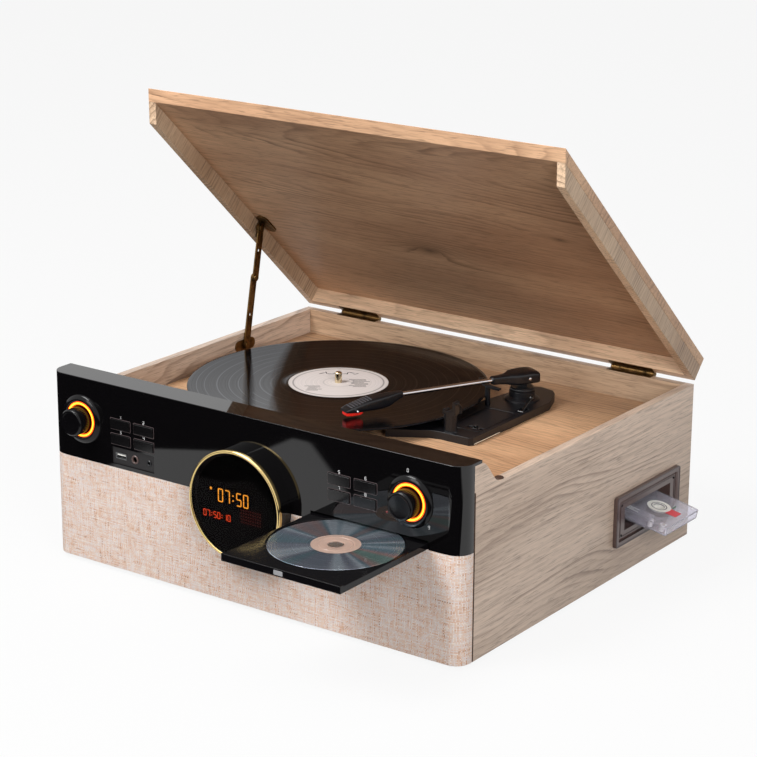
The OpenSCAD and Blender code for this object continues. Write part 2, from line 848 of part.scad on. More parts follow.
// Drive under the deck: two side rails, a floor, and the motor with its hub
module disc_drive_chassis() {
    half = tray_w / 2 + chassis_gap;
    rail_top = tray_z - slide_gap;
    floor_z = rail_top - 9;
    hub_y = disc_from_front;
    color("gray") seated() translate([tray_x, 0, 0]) {
        for (side = [-1, 1]) {
            translate([side > 0 ? half : -half - sheet_t, chassis_y, floor_z])
                cube([sheet_t, chassis_d, deck_z - deck_t - floor_z]);
            translate([side > 0 ? half - rail_w : -half, chassis_y, rail_top - rail_t])
                cube([rail_w, chassis_d, rail_t]);
        }
        translate([-half, chassis_y, floor_z]) cube([2 * half, chassis_d, sheet_t]);
        translate([0, hub_y, floor_z + sheet_t]) cylinder(r = 12, h = 4);
        translate([0, hub_y, floor_z + sheet_t + 4]) cylinder(r = 2, h = 1.2);
        translate([0, hub_y, floor_z + sheet_t + 5]) cylinder(r = 14, h = 1.9);
    }
}

// ---- Cassette slot ----

// Local X out along the tipped cassette, from the wall's outer face
module in_slot() {
    seated() translate([half_w, slot_y, slot_z]) rotate([0, cassette_droop, 0]) children();
}

// Stepped frame: outer lip, a groove, and an inner plate round the slot
module cassette_frame() {
    lip_w = 5;
    groove_w = 2.5;
    color("rosybrown") seated() translate([half_w, slot_y, slot_z]) rotate([90, 0, 90]) difference() {
        union() {
            linear_extrude(slot_lip) round_rect(slot_frame_w, slot_frame_h, 3);
            translate([0, 0, -slot_neck]) linear_extrude(slot_neck + cut)
                square([slot_frame_w - 21, slot_frame_h - 13], center = true);
        }
        difference() {
            translate([0, 0, slot_lip - 2.8]) linear_extrude(slot_lip)
                round_rect(slot_frame_w - 2 * lip_w, slot_frame_h - 2 * lip_w, 2);
            translate([0, 0, -slot_neck]) linear_extrude(slot_neck + slot_plate_t)
                round_rect(slot_frame_w - 2 * lip_w - 2 * groove_w,
                           slot_frame_h - 2 * lip_w - 2 * groove_w, 1.5);
        }
        translate([0, 0, -slot_neck - cut]) linear_extrude(slot_neck + slot_lip + 2 * cut)
            square([slot_w, slot_h], center = true);
    }
}

// Loading well behind the wall: a sheet box that follows the tipped cassette
module cassette_chassis() {
    well_w = cassette_w + 2 * well_gap;
    well_h = cassette_thick + run_gap + well_gap;
    well_low = -cassette_thick / 2 - run_gap;
    well_len = cassette_len + 10;
    flange_x = half_w - slot_neck - sheet_t;
    foot_w = 10;
    foot_d = 30;
    foot_reach = (slot_frame_w - foot_w) / 2;
    color("gray") difference() {
        union() {
            intersection() {
                in_slot() translate([-well_len - sheet_t, -well_w / 2 - sheet_t, well_low - sheet_t])
                    cube([well_len + sheet_t, well_w + 2 * sheet_t, well_h + 2 * sheet_t]);
                seated() translate([0, slot_y - body_d, bottom_t + 1])
                    cube([flange_x + sheet_t, 2 * body_d, body_h]);
            }
            seated() translate([flange_x, slot_y - slot_frame_w / 2, slot_z - slot_frame_h / 2])
                cube([sheet_t, slot_frame_w, slot_frame_h]);
            seated() for (side = [-1, 1])
                translate([flange_x - foot_d, slot_y + side * foot_reach - foot_w / 2, bottom_t])
                    cube([foot_d, foot_w, slot_z - slot_frame_h / 2 - bottom_t + 8]);
        }
        in_slot() translate([-well_len, -well_w / 2, well_low])
            cube([well_len + body_w, well_w, well_h]);
    }
}

// Cassette: hollow see-through shell, thicker along one edge, with two reels inside
module cassette() {
    wall = 1;
    reel_seat = 0.2;
    reel_h = cassette_t - 2 * wall - 0.6;
    thick_w = 62;
    thick_d = 12;
    hub_x = cassette_out - cassette_len / 2;
    hub_y = 3;
    inner = cassette_out - cassette_len;
    in_slot() {
        color("lightgray") difference() {
            union() {
                translate([inner, -cassette_w / 2, -cassette_t / 2])
                    cube([cassette_len, cassette_w, cassette_t]);
                translate([hub_x - thick_w / 2, -cassette_w / 2, -cassette_thick / 2])
                    cube([thick_w, thick_d, cassette_thick]);
            }
            translate([inner + wall, -cassette_w / 2 + wall, -cassette_t / 2 + wall])
                cube([cassette_len - 2 * wall, cassette_w - 2 * wall, cassette_t - 2 * wall]);
            for (side = [-1, 1])
                translate([hub_x + side * hub_pitch / 2, hub_y, -cassette_thick])
                    cylinder(r = hub_r + 0.3, h = 2 * cassette_thick);
        }
        color("white") for (side = [-1, 1])
            translate([hub_x + side * hub_pitch / 2, hub_y, -cassette_t / 2 + wall - reel_seat])
                difference() {
                    cylinder(r = side > 0 ? 12 : 19, h = reel_h + reel_seat);
                    translate([0, 0, -cut]) cylinder(r = hub_r + 0.3, h = reel_h + 2 * cut);
                }
    }
}

// ---- Turntable ----

// Spindle: centre pin, nut plate under the deck and the collar that the platter's hub turns on
module spindle() {
    under = 10;
    tip = 2;
    low = deck_z - deck_t - under;
    color("silver") seated() translate([spindle_x, spindle_y, 0]) {
        translate([0, 0, low]) cylinder(r = spindle_r, h = spindle_top - tip - low);
        translate([0, 0, spindle_top - tip]) cylinder(r1 = spindle_r, r2 = spindle_r - 1.4, h = tip);
        translate([0, 0, deck_z - deck_t - 3]) cylinder(r = 14, h = 3);
        translate([0, 0, deck_z]) cylinder(r = 9, h = platter_gap + hub_lift - run_gap);
    }
}

// Platter: top disc, outer skirt, inner drive rim and bored hub
module platter() {
    top_t = 3;
    skirt = 3;
    hub = 10;
    bore_r = spindle_r + run_gap;
    color("black") seated() translate([spindle_x, spindle_y, platter_z]) rotate_extrude($fn = 96) polygon([
        [bore_r, hub_lift], [hub, hub_lift],
        [hub, platter_h - top_t], [drive_rim_r - drive_rim_t, platter_h - top_t],
        [drive_rim_r - drive_rim_t, 1], [drive_rim_r, 1], [drive_rim_r, platter_h - top_t],
        [platter_r - skirt, platter_h - top_t], [platter_r - skirt, 0], [platter_r, 0],
        [platter_r, platter_h - 1], [platter_r - 1, platter_h], [bore_r, platter_h]
    ]);
}

// Record: raised rim and centre, thinner playing area
module record() {
    bore_r = spindle_r + run_gap;
    edge_w = 3;
    label_edge = 54;
    dip = 0.25;
    color("black") seated() translate([spindle_x, spindle_y, record_z]) rotate_extrude($fn = 128) polygon([
        [bore_r, 0], [record_r - 0.6, 0], [record_r, record_t / 2], [record_r - 0.6, record_t],
        [record_r - edge_w, record_t], [record_r - edge_w - 1, record_t - dip],
        [label_edge + 1, record_t - dip], [label_edge, record_t], [bore_r, record_t]
    ]);
}

// Motor under the deck; its shaft has a shoulder that the pulley turns on
module platter_motor() {
    top = deck_z - deck_t;
    shoulder_r = motor_shaft_r + 1.5;
    color("silver") seated() translate([pulley_x, spindle_y, 0]) {
        translate([0, 0, top - motor_h]) cylinder(r = motor_r, h = motor_h);
        translate([0, 0, top - cut]) cylinder(r = shoulder_r, h = pulley_z - run_gap - top + cut);
        translate([0, 0, top - cut]) cylinder(r = motor_shaft_r, h = platter_z + platter_h - 4 - top);
    }
}

module motor_pulley() {
    pulley_h = belt_h + 2 * pulley_flange + 2 * face_gap;
    color("gold") seated() translate([pulley_x, spindle_y, pulley_z]) difference() {
        union() {
            cylinder(r = pulley_r, h = pulley_h);
            cylinder(r = pulley_r + pulley_flange, h = pulley_flange);
            translate([0, 0, pulley_h - pulley_flange])
                cylinder(r = pulley_r + pulley_flange, h = pulley_flange);
        }
        translate([0, 0, -cut]) cylinder(r = motor_shaft_r + run_gap, h = pulley_h + 2 * cut);
    }
}

// Outline round the drive rim and the pulley; its straight pieces lie outside the circles
module belt_loop(grow) {
    rim_steps = 96;
    pulley_steps = 24;
    hull() {
        circle((drive_rim_r + grow) / cos(180 / rim_steps), $fn = rim_steps);
        translate([-pulley_reach, 0])
            circle((pulley_r + grow) / cos(180 / pulley_steps), $fn = pulley_steps);
    }
}

module drive_belt() {
    color("dimgray") seated()
        translate([spindle_x, spindle_y, pulley_z + pulley_flange + face_gap])
            linear_extrude(belt_h) difference() {
                belt_loop(belt_gap + belt_t);
                belt_loop(belt_gap);
            }
}

// ---- Tonearm ----

// Local -Y along the tonearm, from the pivot's axis
module on_arm() {
    seated() translate([pivot_x, pivot_y, 0]) rotate([0, 0, -arm_angle]) children();
}

// Base plate: straight right side, front edge that steps forward under the record.
// The outline's points are shares of its width and length.
module tonearm_base() {
    base_len = base_front + base_back;
    base_outline = [
        [0.96, 0.12], [1, 0.135], [1, 0.81], [0.865, 0.945], [0.78, 0.985], [0.585, 1], [0.44, 0.98],
        [0.34, 0.71], [0.195, 0.36], [0, 0], [0.145, 0.035], [0.44, 0.11], [0.585, 0.12]
    ];
    color("black") seated() difference() {
        union() {
            translate([0, 0, deck_z]) linear_extrude(arm_base_h) polygon([for (p = base_outline)
                [pivot_x + base_right - base_w * (1 - p[0]), pivot_y - base_front + base_len * p[1]]]);
            translate([pivot_x, pivot_y, arm_base_top]) cylinder(r = pedestal_r, h = pedestal_h);
        }
        translate([pivot_x, pivot_y, deck_z + 2]) cylinder(r = post_pin_r, h = arm_base_h + pedestal_h);
        translate([speed_x, speed_y, arm_base_top - speed_slot_h]) linear_extrude(speed_slot_h + cut)
            square([speed_slot_w, speed_slot_d], center = true);
        translate([cue_x, cue_y, arm_base_top - cue_slot_h]) linear_extrude(cue_slot_h + cut)
            square([cue_slot_w, cue_slot_d], center = true);
        translate([cue_x - cue_slot_w / 2 - cue_pin_in, cue_y, cue_pin_z]) rotate([0, 90, 0])
            cylinder(r = cue_pin_r + run_gap, h = cue_slot_w + 2 * cue_pin_in);
    }
}

// Arm rest: a post with a saddle just under the parked tube and a stop on its far side
module arm_rest() {
    post_y = pivot_y - arm_rest_reach;
    saddle_z = tube_z - tube_r - face_gap;
    stop_x = tube_r + face_gap;
    color("black") seated() translate([pivot_x, post_y, 0]) {
        translate([0, 0, arm_base_top]) cylinder(r1 = 6, r2 = 4.5, h = saddle_z - arm_base_top - 3);
        translate([0, 0, saddle_z - 3]) linear_extrude(3) round_rect(15, 9, 2);
        translate([stop_x, -4.5, saddle_z - 3]) cube([4.1, 9, 3 + 2 * tube_r + 4]);
        translate([-tube_r - 4, -4.5, saddle_z - 3]) cube([2, 9, 3.2]);
    }
}

// Turning post: pin in the pedestal, a round foot and an upright that holds the lift pin
module tonearm_post() {
    foot_z = arm_base_top + pedestal_h + run_gap;
    upright = 7;
    color("black") on_arm() {
        translate([0, 0, deck_z + 3]) cylinder(r = post_pin_r - run_gap, h = foot_z - deck_z - 3 + cut);
        translate([0, 0, foot_z]) cylinder(r = pedestal_r - 1.5, h = post_base_h);
        translate([-upright / 2, -upright / 2, foot_z])
            cube([upright, upright, tube_z + upright / 2 - foot_z]);
        translate([-housing_w / 2 + 2, 0, tube_z]) rotate([0, 90, 0])
            cylinder(r = lift_pin_r, h = housing_w - 4);
    }
}

// Housing over the post: round back, narrow nose where the tube comes out
module tonearm_housing() {
    nose_w = 9;
    nose = housing_len - housing_back;
    low = tube_z - housing_h / 2;
    color("black") on_arm() difference() {
        union() {
            translate([0, 0, low]) linear_extrude(housing_h) polygon([
                [housing_w / 2 - 3, housing_back], [housing_w / 2, housing_back - 3],
                [housing_w / 2, -10], [nose_w / 2 + 1, -nose + 8], [nose_w / 2, -nose],
                [-nose_w / 2, -nose], [-nose_w / 2 - 1, -nose + 8], [-housing_w / 2, -10],
                [-housing_w / 2, housing_back - 3], [-housing_w / 2 + 3, housing_back]
            ]);
            translate([0, -9, low + housing_h]) linear_extrude(1.5)
                square([housing_w - 5, housing_back * 2 - 14], center = true);
        }
        translate([-cavity_w / 2, -cavity_w / 2, low - cut]) cube([cavity_w, cavity_w, housing_h - 1]);
        translate([-housing_w / 2 + 1.5, 0, tube_z]) rotate([0, 90, 0])
            cylinder(r = lift_pin_r + run_gap, h = housing_w - 3);
        translate([0, -tube_start, tube_z]) rotate([90, 0, 0]) cylinder(r = tube_r, h = nose);
    }
}

module tonearm_tube() {
    color("silver") on_arm() translate([0, -tube_start, tube_z]) rotate([90, 0, 0])
        cylinder(r = tube_r, h = head_start - tube_start + 8);
}

// Headshell: tapers down and widens from the tube to a blunt nose
module headshell() {
    neck_w = 9;
    nose_w = 17;
    lift_w = 6;
    tip_y = -head_start - head_len;
    waist = [nose_w, 4, tube_z + 2 - head_under];
    waist_at = [-nose_w / 2, -head_start - 34, head_under];
    color("black") on_arm() difference() {
        union() {
            hull() {
                translate([-neck_w / 2, -head_start - 10, tube_z - neck_w / 2]) cube([neck_w, 10, neck_w]);
                translate(waist_at) cube(waist);
            }
            hull() {
                translate(waist_at) cube(waist);
                translate([-nose_w / 2 + 2, tip_y, head_under]) cube([nose_w - 4, 3, 4.5]);
            }
            translate([0, tip_y + 4, head_under]) cube([nose_w / 2 + lift_w, 5, 1.4]);
        }
        translate([0, -head_start + cut, tube_z]) rotate([90, 0, 0]) cylinder(r = tube_r, h = 8 + cut);
    }
}

module stylus() {
    cartridge_h = 2.4;
    cartridge_z = head_under - cartridge_h;
    color("red") on_arm() {
        translate([-5, -arm_len - 5, cartridge_z]) cube([10, 22, cartridge_h]);
        translate([0, -arm_len, record_top + stylus_gap])
            cylinder(r1 = 0.3, r2 = 1.4, h = cartridge_z - record_top - stylus_gap);
    }
}

// Speed switch: a slider in its slot with a small grip
module speed_switch() {
    slider_w = 9;
    slider_d = speed_slot_d - 2 * slide_gap;
    color("silver") seated() translate([speed_x, speed_y, arm_base_top - speed_slot_h + run_gap]) {
        linear_extrude(speed_slot_h - run_gap) square([slider_w, slider_d], center = true);
        linear_extrude(speed_slot_h + 2.5) square([4, slider_d - 1], center = true);
    }
}

// Cue lever: an arm that leans back, on a cross pin held by both sides of its slot
module cue_lever() {
    lean = 60;
    lever_len = 20;
    color("black") seated() translate([cue_x, cue_y, cue_pin_z]) {
        translate([-cue_slot_w / 2 - cue_pin_in + face_gap, 0, 0]) rotate([0, 90, 0])
            cylinder(r = cue_pin_r, h = cue_slot_w + 2 * (cue_pin_in - face_gap));
        translate([-cue_slot_w / 2 + face_gap, 0, 0]) rotate([0, 90, 0])
            cylinder(r = cue_pin_r + 0.8, h = cue_slot_w - 2 * face_gap);
        rotate([-lean, 0, 0]) translate([-1.5, -1.5, 0]) cube([3, 3, lever_len]);
        rotate([-lean, 0, 0]) translate([0, 0, lever_len]) sphere(2.6, $fn = 24);
    }
}

// ---- Lid ----

// Lid's outline from the side, closed: level top, front end that slants back as it goes down
module lid_outline(low, high) {
    polygon([
        [lid_front_y + (body_h - high) * tan(lid_slant), high],
        [lid_front_y + (body_h - low) * tan(lid_slant), low],
        [body_d, low], [body_d, high]
    ]);
}

module lid_board() {
    color("tan") seated() opened() across(-half_w, body_w) lid_outline(body_h - lid_t, body_h);
}

module lid_walls() {
    low = body_h - lid_t;
    color("tan") seated() opened() {
        for (side = [-1, 1])
            across(side > 0 ? half_w - lid_wall_t : -half_w, lid_wall_t) lid_outline(lid_z, low);
        translate([-half_w + lid_wall_t, body_d - lid_wall_t, lid_z])
            cube([body_w - 2 * lid_wall_t, lid_wall_t, low - lid_z]);
    }
}

// Knuckles number first, first + 2, ... of one hinge, as bored barrels with their tabs
module hinge_half(first, leaf_z) {
    play = 0.15;
    barrel_w = knuckle_w - 2 * play;
    tab_in = 2;
    for (i = [first : 2 : knuckles - 1])
        translate([-hinge_w / 2 + i * knuckle_w + play, 0, 0]) difference() {
            union() {
                translate([0, hinge_y, hinge_z]) rotate([0, 90, 0]) cylinder(r = knuckle_r, h = barrel_w);
                translate([0, body_d - tab_in, leaf_z]) cube([barrel_w, hinge_y - body_d + tab_in, leaf_t]);
            }
            if (first == 1) translate([-cut, hinge_y, hinge_z]) rotate([0, 90, 0])
                cylinder(r = hinge_pin_r + run_gap, h = knuckle_w + 2 * cut);
        }
    translate([-hinge_w / 2, body_d - min(back_t, lid_wall_t) + 0.5, leaf_z])
        cube([hinge_w, min(back_t, lid_wall_t) - 0.5, leaf_t]);
}

module hinge_lower_leaves() {
    color("goldenrod") seated() for (side = [-1, 1]) translate([side * hinge_x, 0, 0]) {
        hinge_half(0, wall_top);
        translate([-hinge_w / 2, hinge_y, hinge_z]) rotate([0, 90, 0])
            cylinder(r = hinge_pin_r, h = hinge_w);
    }
}

module hinge_upper_leaves() {
    color("goldenrod") seated() opened() for (side = [-1, 1]) translate([side * hinge_x, 0, 0])
        hinge_half(1, lid_z - leaf_t);
}

// ---- Stay ----

// Plate screwed to the left wall's inner face, with the pin that the lower arm turns on
module stay_wall_plate() {
    plate_len = 20;
    head_h = 1.2;
    pin_len = stay_lower_x + stay_t + 0.2 + inner_w / 2;
    color("goldenrod") seated() translate([-inner_w / 2, stay_wall_y, stay_wall_z]) rotate([90, 0, 90]) {
        linear_extrude(stay_plate_t) translate([-plate_len / 2, 0]) link(plate_len, stay_w + 3);
        cylinder(r = stay_pin_r, h = pin_len + head_h);
        translate([0, 0, pin_len]) cylinder(r = stay_pin_r + 1.6, h = head_h);
    }
}

// Oval plate on the lid board's underside; its ear holds the pin of the upper arm
module stay_lid_bracket() {
    plate_len = 16;
    plate_w = 14;
    head_h = 1.2;
    under = body_h - lid_t;
    ear_x = stay_upper_x - face_gap - stay_plate_t;
    pin_end = stay_upper_x + stay_t + 0.2;
    color("goldenrod") seated() opened() translate([0, stay_lid_y, 0]) {
        translate([ear_x + plate_w / 2, -plate_len / 2, under - stay_plate_t])
            linear_extrude(stay_plate_t) rotate([0, 0, 90]) link(plate_len, plate_w);
        translate([ear_x, 0, stay_lid_z]) rotate([90, 0, 90]) {
            linear_extrude(stay_plate_t) circle(stay_w / 2);
            translate([-stay_w / 2, 0, 0]) cube([stay_w, under - stay_lid_z, stay_plate_t]);
            cylinder(r = stay_pin_r, h = pin_end - ear_x + head_h);
            translate([0, 0, pin_end - ear_x]) cylinder(r = stay_pin_r + 1.6, h = head_h);
        }
    }
}

// Arm from a pivot with its bore there; local X of the outline is along the arm
module stay_arm(x, pivot, angle, len) {
    seated() translate([x, pivot[0], pivot[1]]) rotate([90, 0, 90]) rotate([0, 0, angle])
        linear_extrude(stay_t) difference() {
            link(len, stay_w);
            circle(stay_pin_r + run_gap);
            translate([len * 0.45, 0]) circle(1.6);
        }
}

module stay_lower_arm() {
    color("goldenrod") stay_arm(stay_lower_x, [stay_wall_y, stay_wall_z], stay_angle, stay_lower_len);
}

module stay_upper_arm() {
    color("goldenrod") {
        stay_arm(stay_upper_x, stay_lid_open, stay_angle + 180, stay_upper_len);
        seated() translate([stay_upper_x + stay_t, 0, 0]) rotate([90, 0, 90])
            translate([stay_wall_y + stay_lower_len * cos(stay_angle),
                       stay_wall_z + stay_lower_len * sin(stay_angle), -0.2])
                cylinder(r = stay_pin_r + 1.2, h = 1.4);
    }
}

left_side_panel();
right_side_panel();
back_panel();
bottom_panel();
deck_board();
front_panel();
speaker_baffle();
grille_cloth();
speakers();
display_housing();
display_ring();
display_lens();
display_module();
knob_dishes();
glow_rings();
port_plate();
control_board();
power_board();
disc_drive_chassis();
cassette_frame();
cassette_chassis();
rear_socket_plate();
rubber_feet();
lid_bumpers();
hinge_lower_leaves();
stay_wall_plate();
spindle();
platter_motor();
drive_belt();
tonearm_base();
arm_rest();
lid_board();
lid_walls();
hinge_upper_leaves();
stay_lid_bracket();
stay_lower_arm();
stay_upper_arm();
platter();
record();
motor_pulley();
tonearm_post();
tonearm_housing();
tonearm_tube();
headshell();
stylus();
cue_lever();
speed_switch();
disc_tray();
compact_disc();
cassette();
source_knob();
volume_knob();
repeat_button();
skip_button();
play_button();
stop_button();
band_button();
eject_button();
store_button();
record_button();
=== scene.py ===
"""Looks of a wooden table-top music centre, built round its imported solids.

Sizes in the classes are millimetres in the cabinet's own frame: X to the right,
Y back from the front face and Z up from the cabinet's underside. Station turns
them into the frame's metres.
"""

import json
import logging
import math
from dataclasses import dataclass, field
from enum import Enum
from typing import Callable, Iterable, Optional, Sequence

import bmesh
import bpy
from mathutils import Matrix, Vector

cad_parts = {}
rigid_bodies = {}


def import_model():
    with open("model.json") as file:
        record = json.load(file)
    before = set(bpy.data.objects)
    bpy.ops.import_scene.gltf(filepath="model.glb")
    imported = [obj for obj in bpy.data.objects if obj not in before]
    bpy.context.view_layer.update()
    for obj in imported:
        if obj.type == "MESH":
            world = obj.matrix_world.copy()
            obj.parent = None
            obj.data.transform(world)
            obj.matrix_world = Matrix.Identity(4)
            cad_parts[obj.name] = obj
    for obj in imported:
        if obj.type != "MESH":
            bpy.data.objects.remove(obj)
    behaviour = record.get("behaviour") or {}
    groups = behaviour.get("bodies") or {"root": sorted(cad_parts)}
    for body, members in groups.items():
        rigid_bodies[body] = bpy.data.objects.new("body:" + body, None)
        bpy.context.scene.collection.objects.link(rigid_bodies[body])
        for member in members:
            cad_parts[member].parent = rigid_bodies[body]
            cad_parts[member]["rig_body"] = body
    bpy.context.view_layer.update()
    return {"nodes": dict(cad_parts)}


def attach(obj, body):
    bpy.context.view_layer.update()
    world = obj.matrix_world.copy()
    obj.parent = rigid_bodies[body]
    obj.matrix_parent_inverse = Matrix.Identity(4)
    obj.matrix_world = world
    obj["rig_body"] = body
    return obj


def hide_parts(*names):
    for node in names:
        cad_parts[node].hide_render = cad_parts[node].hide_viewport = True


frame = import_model()

LOG = logging.getLogger("music_centre")
Point2 = tuple[float, float]
Colour = tuple[float, float, float]
Part = tuple[bmesh.types.BMesh, Matrix]
Where = Optional[Callable[[Vector], bool]]

MM = 0.001
TAU = 2 * math.pi
HERE = Matrix.Identity(4)
FRONT_TO_MIDDLE = 204.0
FOOT_HEIGHT = 4.0

# Places and turns that more than one class needs: the lid's axis, the tonearm's and the cassette's slot.
HINGE = (0.0, 410.65, 158.8)
LID_TURN = math.radians(43)
PIVOT = (98.0, 315.0)
TONEARM_TURN = math.radians(-27)
SLOT = (239.0, 319.0, 57.0)
CASSETTE_TIP = math.radians(12)


def linear(red: float, green: float, blue: float) -> Colour:
    """Turns a colour in display values, 0 to 255, into the linear values that shaders take.

    Args:
        red: Display red.
        green: Display green.
        blue: Display blue.

    Returns:
        The three linear values.
    """
    def one(value: float) -> float:
        """One channel's linear value."""
        share = value / 255
        return share / 12.92 if share <= 0.04045 else ((share + 0.055) / 1.055) ** 2.4
    return one(red), one(green), one(blue)


class Grain(Enum):
    """The way that a board's grain runs."""

    ACROSS = "x"
    FACE = "x, on an upright board"
    DEEP = "y"
    TALL = "z"

    @property
    def order(self) -> tuple[int, int, int]:
        """The axes along the grain, across the face and through the board."""
        orders = {Grain.ACROSS: (0, 1, 2), Grain.FACE: (0, 2, 1), Grain.DEEP: (1, 2, 0), Grain.TALL: (2, 1, 0)}
        return orders[self]


def linked(name: str, data: object) -> bpy.types.Object:
    """A new object of the scene with the given data."""
    made = bpy.data.objects.new(name, data)
    bpy.context.scene.collection.objects.link(made)
    return made


class Station:
    """Places in the part, as matrices from local millimetres to the frame's metres."""

    @staticmethod
    def upright(x: float = 0, y: float = 0, z: float = 0) -> Matrix:
        """Local axes along the cabinet's, with the origin at a cabinet point."""
        middle = Matrix.Translation((x * MM, (y - FRONT_TO_MIDDLE) * MM, (z + FOOT_HEIGHT) * MM))
        return middle @ Matrix.Scale(MM, 4)

    @staticmethod
    def front(x: float, z: float, out: float = 0) -> Matrix:
        """Local Z out of the front face, local Y up."""
        turn = Matrix(((1, 0, 0, 0), (0, 0, -1, 0), (0, 1, 0, 0), (0, 0, 0, 1)))
        return Station.upright(x, -out, z) @ turn

    @staticmethod
    def right_side(x: float, y: float, z: float) -> Matrix:
        """Local Z out of the right side, local X towards the back, local Y up."""
        turn = Matrix(((0, 0, 1, 0), (1, 0, 0, 0), (0, 1, 0, 0), (0, 0, 0, 1)))
        return Station.upright(x, y, z) @ turn

    @staticmethod
    def back(x: float, y: float, z: float) -> Matrix:
        """Local Z out of the back, local X to the left as the cabinet's front is seen, local Y up."""
        turn = Matrix(((-1, 0, 0, 0), (0, 0, 1, 0), (0, 1, 0, 0), (0, 0, 0, 1)))
        return Station.upright(x, y, z) @ turn

    @staticmethod
    def tonearm(height: float) -> Matrix:
        """Local -Y along the tonearm, from its pivot, at a height."""
        return Station.upright(*PIVOT, height) @ Matrix.Rotation(TONEARM_TURN, 4, "Z")

    @staticmethod
    def cassette() -> Matrix:
        """Local X out along the tipped cassette, from the wall's outer face."""
        return Station.upright(*SLOT) @ Matrix.Rotation(CASSETTE_TIP, 4, "Y")

    @staticmethod
    def lid() -> Matrix:
        """The closed lid's own frame, turned up with the lid."""
        hinge = Vector(HINGE)
        turn = Matrix.Rotation(-LID_TURN, 4, "X")
        return Station.upright() @ Matrix.Translation(hinge) @ turn @ Matrix.Translation(-hinge)


# ---- Finishes ----

class Shader:
    """One material's node tree, with short calls to add and join nodes."""

    def __init__(self, name: str) -> None:
        """Starts a material with one Principled shader."""
        self.material = bpy.data.materials.new(name)
        self.material.use_nodes = True
        self.tree = self.material.node_tree
        self.principled = next(n for n in self.tree.nodes if n.type == "BSDF_PRINCIPLED")
        self.output = next(n for n in self.tree.nodes if n.type == "OUTPUT_MATERIAL")
        self.coordinates = self.tree.nodes.new("ShaderNodeTexCoord")

    def add(self, kind: str, inputs: Optional[dict] = None, **settings: object) -> bpy.types.Node:
        """Adds a node, sets its properties and feeds its inputs.

        Args:
            kind: The node's class without its ShaderNode prefix.
            inputs: Socket name or number to a value or to an output socket.
            settings: Properties of the node.

        Returns:
            The node.
        """
        node = self.tree.nodes.new("ShaderNode" + kind)
        for key, value in settings.items():
            setattr(node, key, value)
        for key, value in (inputs or {}).items():
            self.feed(node.inputs[key], value)
        return node

    def feed(self, socket: bpy.types.NodeSocket, value: object) -> None:
        """Links an output to a socket, or sets the socket's own value."""
        if isinstance(value, bpy.types.NodeSocket):
            self.tree.links.new(value, socket)
        elif isinstance(value, tuple) and len(value) == 3 and len(socket.default_value) == 4:
            socket.default_value = (*value, 1)
        else:
            socket.default_value = value

    def surface(self, **values: object) -> None:
        """Sets or links inputs of the Principled shader; underscores stand for spaces."""
        for key, value in values.items():
            self.feed(self.principled.inputs[key.replace("_", " ")], value)

    def math(self, operation: str, *values: object) -> bpy.types.NodeSocket:
        """A Math node's result."""
        return self.add("Math", dict(enumerate(values)), operation=operation).outputs[0]

    def mapped(self, scale: Sequence[float], turn: float = 0, uv: bool = False) -> bpy.types.NodeSocket:
        """Object or UV coordinates, turned about X and then scaled by axis."""
        source = self.coordinates.outputs["UV" if uv else "Object"]
        if turn:
            source = self.add("Mapping", {"Vector": source, "Rotation": (turn, 0, 0)}).outputs[0]
        return self.add("Mapping", {"Vector": source, "Scale": tuple(scale)}).outputs[0]

    def vector(self, operation: str, *values: object, out: str = "Vector") -> bpy.types.NodeSocket:
        """A Vector Math node's result."""
        return self.add("VectorMath", dict(enumerate(values)), operation=operation).outputs[out]

    def stretched(self, vector: bpy.types.NodeSocket, along: float, across: float) -> bpy.types.NodeSocket:
        """A vector scaled along the grain and across it."""
        return self.add("Mapping", {"Vector": vector, "Scale": (along, across, across)}).outputs[0]

    def noise(self, vector: bpy.types.NodeSocket, scale: float, detail: float = 3,
              distortion: float = 0) -> bpy.types.NodeSocket:
        """A noise texture's value."""
        made = self.add("TexNoise", {"Vector": vector, "Scale": scale, "Detail": detail,
                                     "Distortion": distortion})
        return made.outputs[0]

    def ramp(self, factor: bpy.types.NodeSocket, stops: Sequence[tuple[float, Colour]]) -> bpy.types.NodeSocket:
        """A colour ramp over the given stops."""
        made = self.add("ValToRGB", {0: factor})
        band = made.color_ramp.elements
        while len(band) < len(stops):
            band.new(0.5)
        for element, (place, colour) in zip(band, stops):
            element.position = place
            element.color = (*colour, 1)
        return made.outputs[0]

    def shares(self, factor: bpy.types.NodeSocket, low: float, high: float,
               least: float, most: float) -> bpy.types.NodeSocket:
        """Maps low..high of a value to least..most, held at the ends."""
        made = self.add("MapRange", {0: factor, 1: low, 2: high, 3: least, 4: most})
        return made.outputs[0]

    def tint(self, colour: object, by: object, blend: str = "MULTIPLY", factor: object = 1.0) -> bpy.types.NodeSocket:
        """Mixes two colours."""
        made = self.tree.nodes.new("ShaderNodeMix")
        made.data_type = "RGBA"
        made.blend_type = blend
        for socket, value in ((made.inputs[0], factor), (made.inputs[6], colour), (made.inputs[7], by)):
            self.feed(socket, value)
        return made.outputs[2]

    def bump(self, height: bpy.types.NodeSocket, distance: float, strength: float = 1.0) -> None:
        """Joins a height to the shader's normal; distance is in millimetres."""
        made = self.add("Bump", {"Height": height, "Distance": distance * MM, "Strength": strength})
        self.surface(Normal=made.outputs[0])


